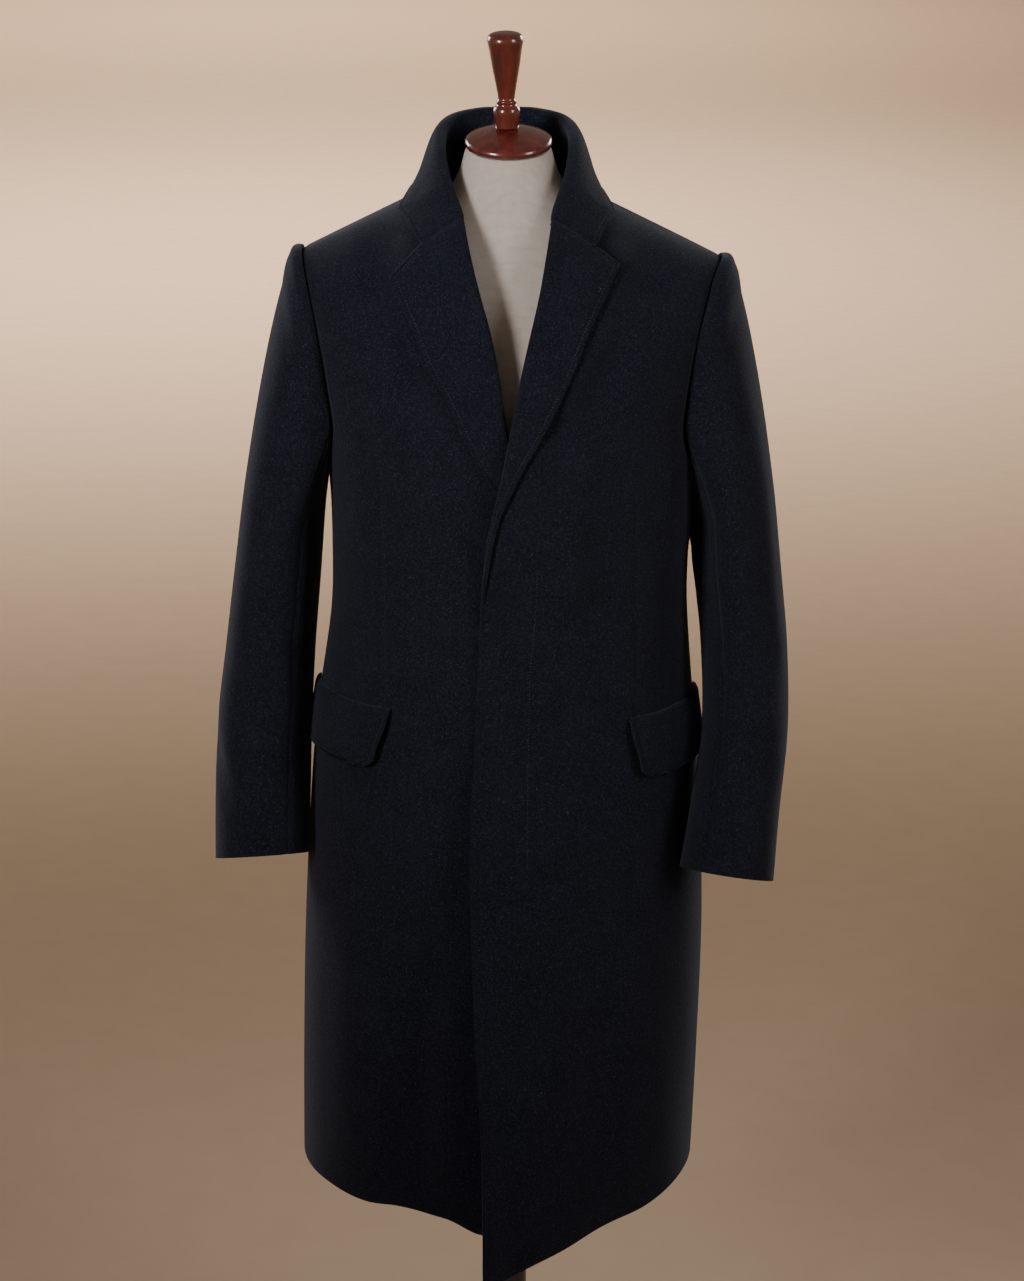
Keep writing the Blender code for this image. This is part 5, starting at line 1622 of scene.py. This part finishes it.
# ---------------------------------------------------------------- the studio
def add_softbox(name, place, target, size, spread_angle, power, colour):
    data = bpy.data.lights.new(name, "AREA")
    data.spread = math.radians(spread_angle)
    data.shape = "RECTANGLE"
    data.size, data.size_y = size
    data.energy = power
    data.color = colour
    lamp = bpy.data.objects.new(name, data)
    bpy.context.scene.collection.objects.link(lamp)
    lamp.location = place
    lamp.visible_camera = False
    lamp.rotation_euler = (Vector(target) - Vector(place)).to_track_quat("-Z", "Y").to_euler()


def add_floor():
    bpy.ops.object.select_all(action="DESELECT")
    bpy.ops.mesh.primitive_circle_add(vertices=96, radius=FLOOR_RADIUS, fill_type="NGON")
    floor = bpy.context.object
    floor.name = "studio_floor"
    floor.data.materials.append(floor_material())


def add_camera(studio):
    camera = bpy.data.objects.new("camera", bpy.data.cameras.new("camera"))
    bpy.context.scene.collection.objects.link(camera)
    camera.location = studio.camera_place
    camera.rotation_euler = (studio.camera_tilt, 0.0, 0.0)
    camera.data.lens = studio.lens
    bpy.context.scene.camera = camera


def light_world(strength):
    world = bpy.data.worlds.new("studio_air")
    world.use_nodes = True
    air = world.node_tree.nodes["Background"]
    air.inputs["Color"].default_value = (*AIR_COLOUR, 1.0)
    air.inputs["Strength"].default_value = strength
    bpy.context.scene.world = world


# ---------------------------------------------------------------- what a user would change
class ClothSettings(bpy.types.PropertyGroup):
    """Sizes and colours of the coat's cloth."""
    wall: FloatProperty(
        name="Cloth thickness", description="Thickness of the melton with its canvas",
        default=CLOTH_WALL, min=0.001, max=0.006, unit="LENGTH", subtype="DISTANCE")
    edge_rounding: FloatProperty(
        name="Edge rounding", description="Rounding of the cloth's edges",
        default=0.0011, min=0.0002, max=0.0015, unit="LENGTH", subtype="DISTANCE")
    wool: FloatVectorProperty(
        name="Wool", description="Ground colour of the wool",
        default=(0.0046, 0.0054, 0.0094), min=0.0, max=1.0, subtype="COLOR")
    heather: FloatVectorProperty(
        name="Heather", description="Lighter colour mixed into the wool",
        default=(0.0120, 0.0142, 0.0250), min=0.0, max=1.0, subtype="COLOR")
    fleck: FloatVectorProperty(
        name="Fleck", description="Colour of the palest fibres",
        default=(0.052, 0.056, 0.088), min=0.0, max=1.0, subtype="COLOR")


class FormSettings(bpy.types.PropertyGroup):
    """Sizes and colours of the dress form and its stand."""
    sides: IntProperty(
        name="Sides", description="Sides of the turned pieces", default=72, min=24, max=128)
    cover: FloatVectorProperty(
        name="Cover", description="Colour of the form's woven cover",
        default=(0.56, 0.50, 0.46), min=0.0, max=1.0, subtype="COLOR")
    thread_pitch: FloatProperty(
        name="Thread pitch", description="Distance between the cover's threads",
        default=0.0011, min=0.0003, max=0.003, unit="LENGTH", subtype="DISTANCE")
    wood: FloatVectorProperty(
        name="Wood", description="Colour of the cap and finial",
        default=(0.150, 0.024, 0.018), min=0.0, max=1.0, subtype="COLOR")


class StudioSettings(bpy.types.PropertyGroup):
    """The floor, the softboxes and the camera."""
    floor: FloatVectorProperty(
        name="Floor", description="Colour of the floor",
        default=(0.56, 0.41, 0.285), min=0.0, max=1.0, subtype="COLOR")
    camera_place: FloatVectorProperty(
        name="Camera", description="Place of the camera",
        default=(0.0, -3.04, 1.946), unit="LENGTH", subtype="TRANSLATION")
    camera_tilt: FloatProperty(
        name="Camera tilt", description="Angle of the camera from straight down",
        default=math.radians(73.0), unit="ROTATION", subtype="ANGLE")
    lens: FloatProperty(
        name="Lens", description="Focal length in millimetres", default=84.31, min=20.0)
    key_power: FloatProperty(
        name="Key light", description="Power of the main softbox in watts", default=6.9, min=0.0)
    fill_power: FloatProperty(
        name="Fill light", description="Power of the fill softbox in watts", default=4.4, min=0.0)
    far_power: FloatProperty(
        name="Far light", description="Power of the light over the far floor in watts",
        default=480.0, min=0.0)
    horizon_power: FloatProperty(
        name="Horizon light", description="Power of the light over the farthest floor in watts",
        default=900.0, min=0.0)
    back_power: FloatProperty(
        name="Back lights", description="Power of each softbox behind the coat in watts",
        default=9.0, min=0.0)
    room_power: FloatProperty(
        name="Room lights", description="Power of each light over the floor at the front and sides in watts",
        default=420.0, min=0.0)
    air: FloatProperty(
        name="Room light", description="Strength of the light from all round", default=0.24, min=0.0)


# ---------------------------------------------------------------- operators
class OVERCOAT_OT_fronts(bpy.types.Operator):
    """Make the two fronts, with their darts and the stitching of the fly"""
    bl_idname = "overcoat.fronts"
    bl_label = "Fronts"

    def execute(self, context):
        for side, where in SIDES:
            declare_cloth(make_panel("front_" + where, side, FRONT), ["front_" + where])
        make_fly_stitches()
        return {"FINISHED"}


class OVERCOAT_OT_backs(bpy.types.Operator):
    """Make the two back panels, with the centre seam and the vent"""
    bl_idname = "overcoat.backs"
    bl_label = "Backs"

    def execute(self, context):
        for side, where in SIDES:
            declare_cloth(make_panel("back_" + where, side, BACK), ["back_" + where])
        return {"FINISHED"}


class OVERCOAT_OT_sleeves(bpy.types.Operator):
    """Make the top and under sleeves, set into the armholes"""
    bl_idname = "overcoat.sleeves"
    bl_label = "Sleeves"

    def execute(self, context):
        for side, where in SIDES:
            for piece in make_sleeve(side):
                declare_cloth(piece, [piece.name.removesuffix("_cloth")])
        return {"FINISHED"}


class OVERCOAT_OT_lapels(bpy.types.Operator):
    """Make the rolled lapels, with their pick stitches and the buttonhole"""
    bl_idname = "overcoat.lapels"
    bl_label = "Lapels"

    def execute(self, context):
        for side, where in SIDES:
            declare_cloth(make_lapel(side), ["lapel_" + where])
        make_buttonhole()
        return {"FINISHED"}


class OVERCOAT_OT_collar(bpy.types.Operator):
    """Make the collar in one sheet, from its stand over the roll to its fall edge"""
    bl_idname = "overcoat.collar"
    bl_label = "Collar"

    def execute(self, context):
        declare_cloth(make_collar(), ["collar_leaf", "collar_stand"])
        return {"FINISHED"}


class OVERCOAT_OT_flaps(bpy.types.Operator):
    """Make the two pocket flaps"""
    bl_idname = "overcoat.flaps"
    bl_label = "Pocket flaps"

    def execute(self, context):
        for side, where in SIDES:
            declare_cloth(make_flap(side), ["pocket_flap_" + where])
        return {"FINISHED"}


class OVERCOAT_OT_torso(bpy.types.Operator):
    """Make the dress form's covered torso and neck"""
    bl_idname = "overcoat.torso"
    bl_label = "Torso"

    def execute(self, context):
        ride_as(make_torso(), "cream_cloth", "form_torso")
        return {"FINISHED"}


class OVERCOAT_OT_neck_block(bpy.types.Operator):
    """Turn the polished cap and finial on the neck"""
    bl_idname = "overcoat.neck_block"
    bl_label = "Cap and finial"

    def execute(self, context):
        sides = context.scene.overcoat_form.sides
        tilt = math.atan(NECK_TILT)
        neck = Vector((NECK_X, 0.0, NECK_TOP_HEIGHT + CAP_CLEAR))
        cap = turned("neck_cap", CAP_PROFILE, sides, wood_material(), neck, tilt)
        ride_as(cap, "mahogany", "form_neck_cap")
        over = Vector((0.0, -math.sin(tilt), math.cos(tilt))) * (CAP_PROFILE[-1][1] + FINIAL_CLEAR)
        foot = neck + over + Vector((FINIAL_OFFSET_X, 0.0, 0.0))
        finial = turned("finial", FINIAL_PROFILE, sides, wood_material(), foot, FINIAL_TILT, FINIAL_LEAN)
        ride_as(finial, "mahogany", "form_finial")
        return {"FINISHED"}


class OVERCOAT_OT_stand(bpy.types.Operator):
    """Turn the pole and the round base"""
    bl_idname = "overcoat.stand"
    bl_label = "Pole and base"

    def execute(self, context):
        sides = context.scene.overcoat_form.sides
        ride_as(turned("pole", POLE_PROFILE, sides, metal_material()), "black_metal", "form_pole")
        ride_as(turned("base_plate", BASE_PROFILE, 2 * sides, metal_material()), "black_metal", "form_base")
        return {"FINISHED"}


class OVERCOAT_OT_studio(bpy.types.Operator):
    """Make the floor, the softboxes and the camera"""
    bl_idname = "overcoat.studio"
    bl_label = "Studio"

    def execute(self, context):
        studio = context.scene.overcoat_studio
        add_camera(studio)
        add_floor()
        light_world(studio.air)
        powers = {"key": studio.key_power, "fill": studio.fill_power, "far": studio.far_power,
                  "horizon": studio.horizon_power, "back": studio.back_power, "room": studio.room_power}
        for name, place, target, size, spread_angle, colour in SOFTBOXES:
            add_softbox(name + "_softbox", place, target, size, spread_angle, powers[name], colour)
        return {"FINISHED"}


OPERATORS = (
    OVERCOAT_OT_studio, OVERCOAT_OT_fronts, OVERCOAT_OT_backs, OVERCOAT_OT_sleeves,
    OVERCOAT_OT_lapels, OVERCOAT_OT_collar, OVERCOAT_OT_flaps, OVERCOAT_OT_torso,
    OVERCOAT_OT_neck_block, OVERCOAT_OT_stand,
)


class OVERCOAT_PT_panel(bpy.types.Panel):
    """The coat's settings and the buttons that make its pieces"""
    bl_idname = "OVERCOAT_PT_panel"
    bl_label = "Overcoat"
    bl_space_type = "VIEW_3D"
    bl_region_type = "UI"
    bl_category = "Overcoat"

    def draw(self, context):
        scene = context.scene
        for settings in (scene.overcoat_cloth, scene.overcoat_form, scene.overcoat_studio):
            box = self.layout.box()
            for name in settings.bl_rna.properties.keys():
                if name not in ("rna_type", "name"):
                    box.prop(settings, name)
        for operator in OPERATORS:
            self.layout.operator(operator.bl_idname)


SETTINGS = {
    "overcoat_cloth": ClothSettings,
    "overcoat_form": FormSettings,
    "overcoat_studio": StudioSettings,
}
CLASSES = (*SETTINGS.values(), *OPERATORS, OVERCOAT_PT_panel)


def register():
    for made in CLASSES:
        bpy.utils.register_class(made)
    for name, group in SETTINGS.items():
        setattr(bpy.types.Scene, name, PointerProperty(type=group))


def unregister():
    for name in SETTINGS:
        delattr(bpy.types.Scene, name)
    for made in reversed(CLASSES):
        bpy.utils.unregister_class(made)


def main():
    register()
    for operator in OPERATORS:
        getattr(bpy.ops.overcoat, operator.bl_idname.split(".")[1])()


if __name__ == "__main__":
    main()
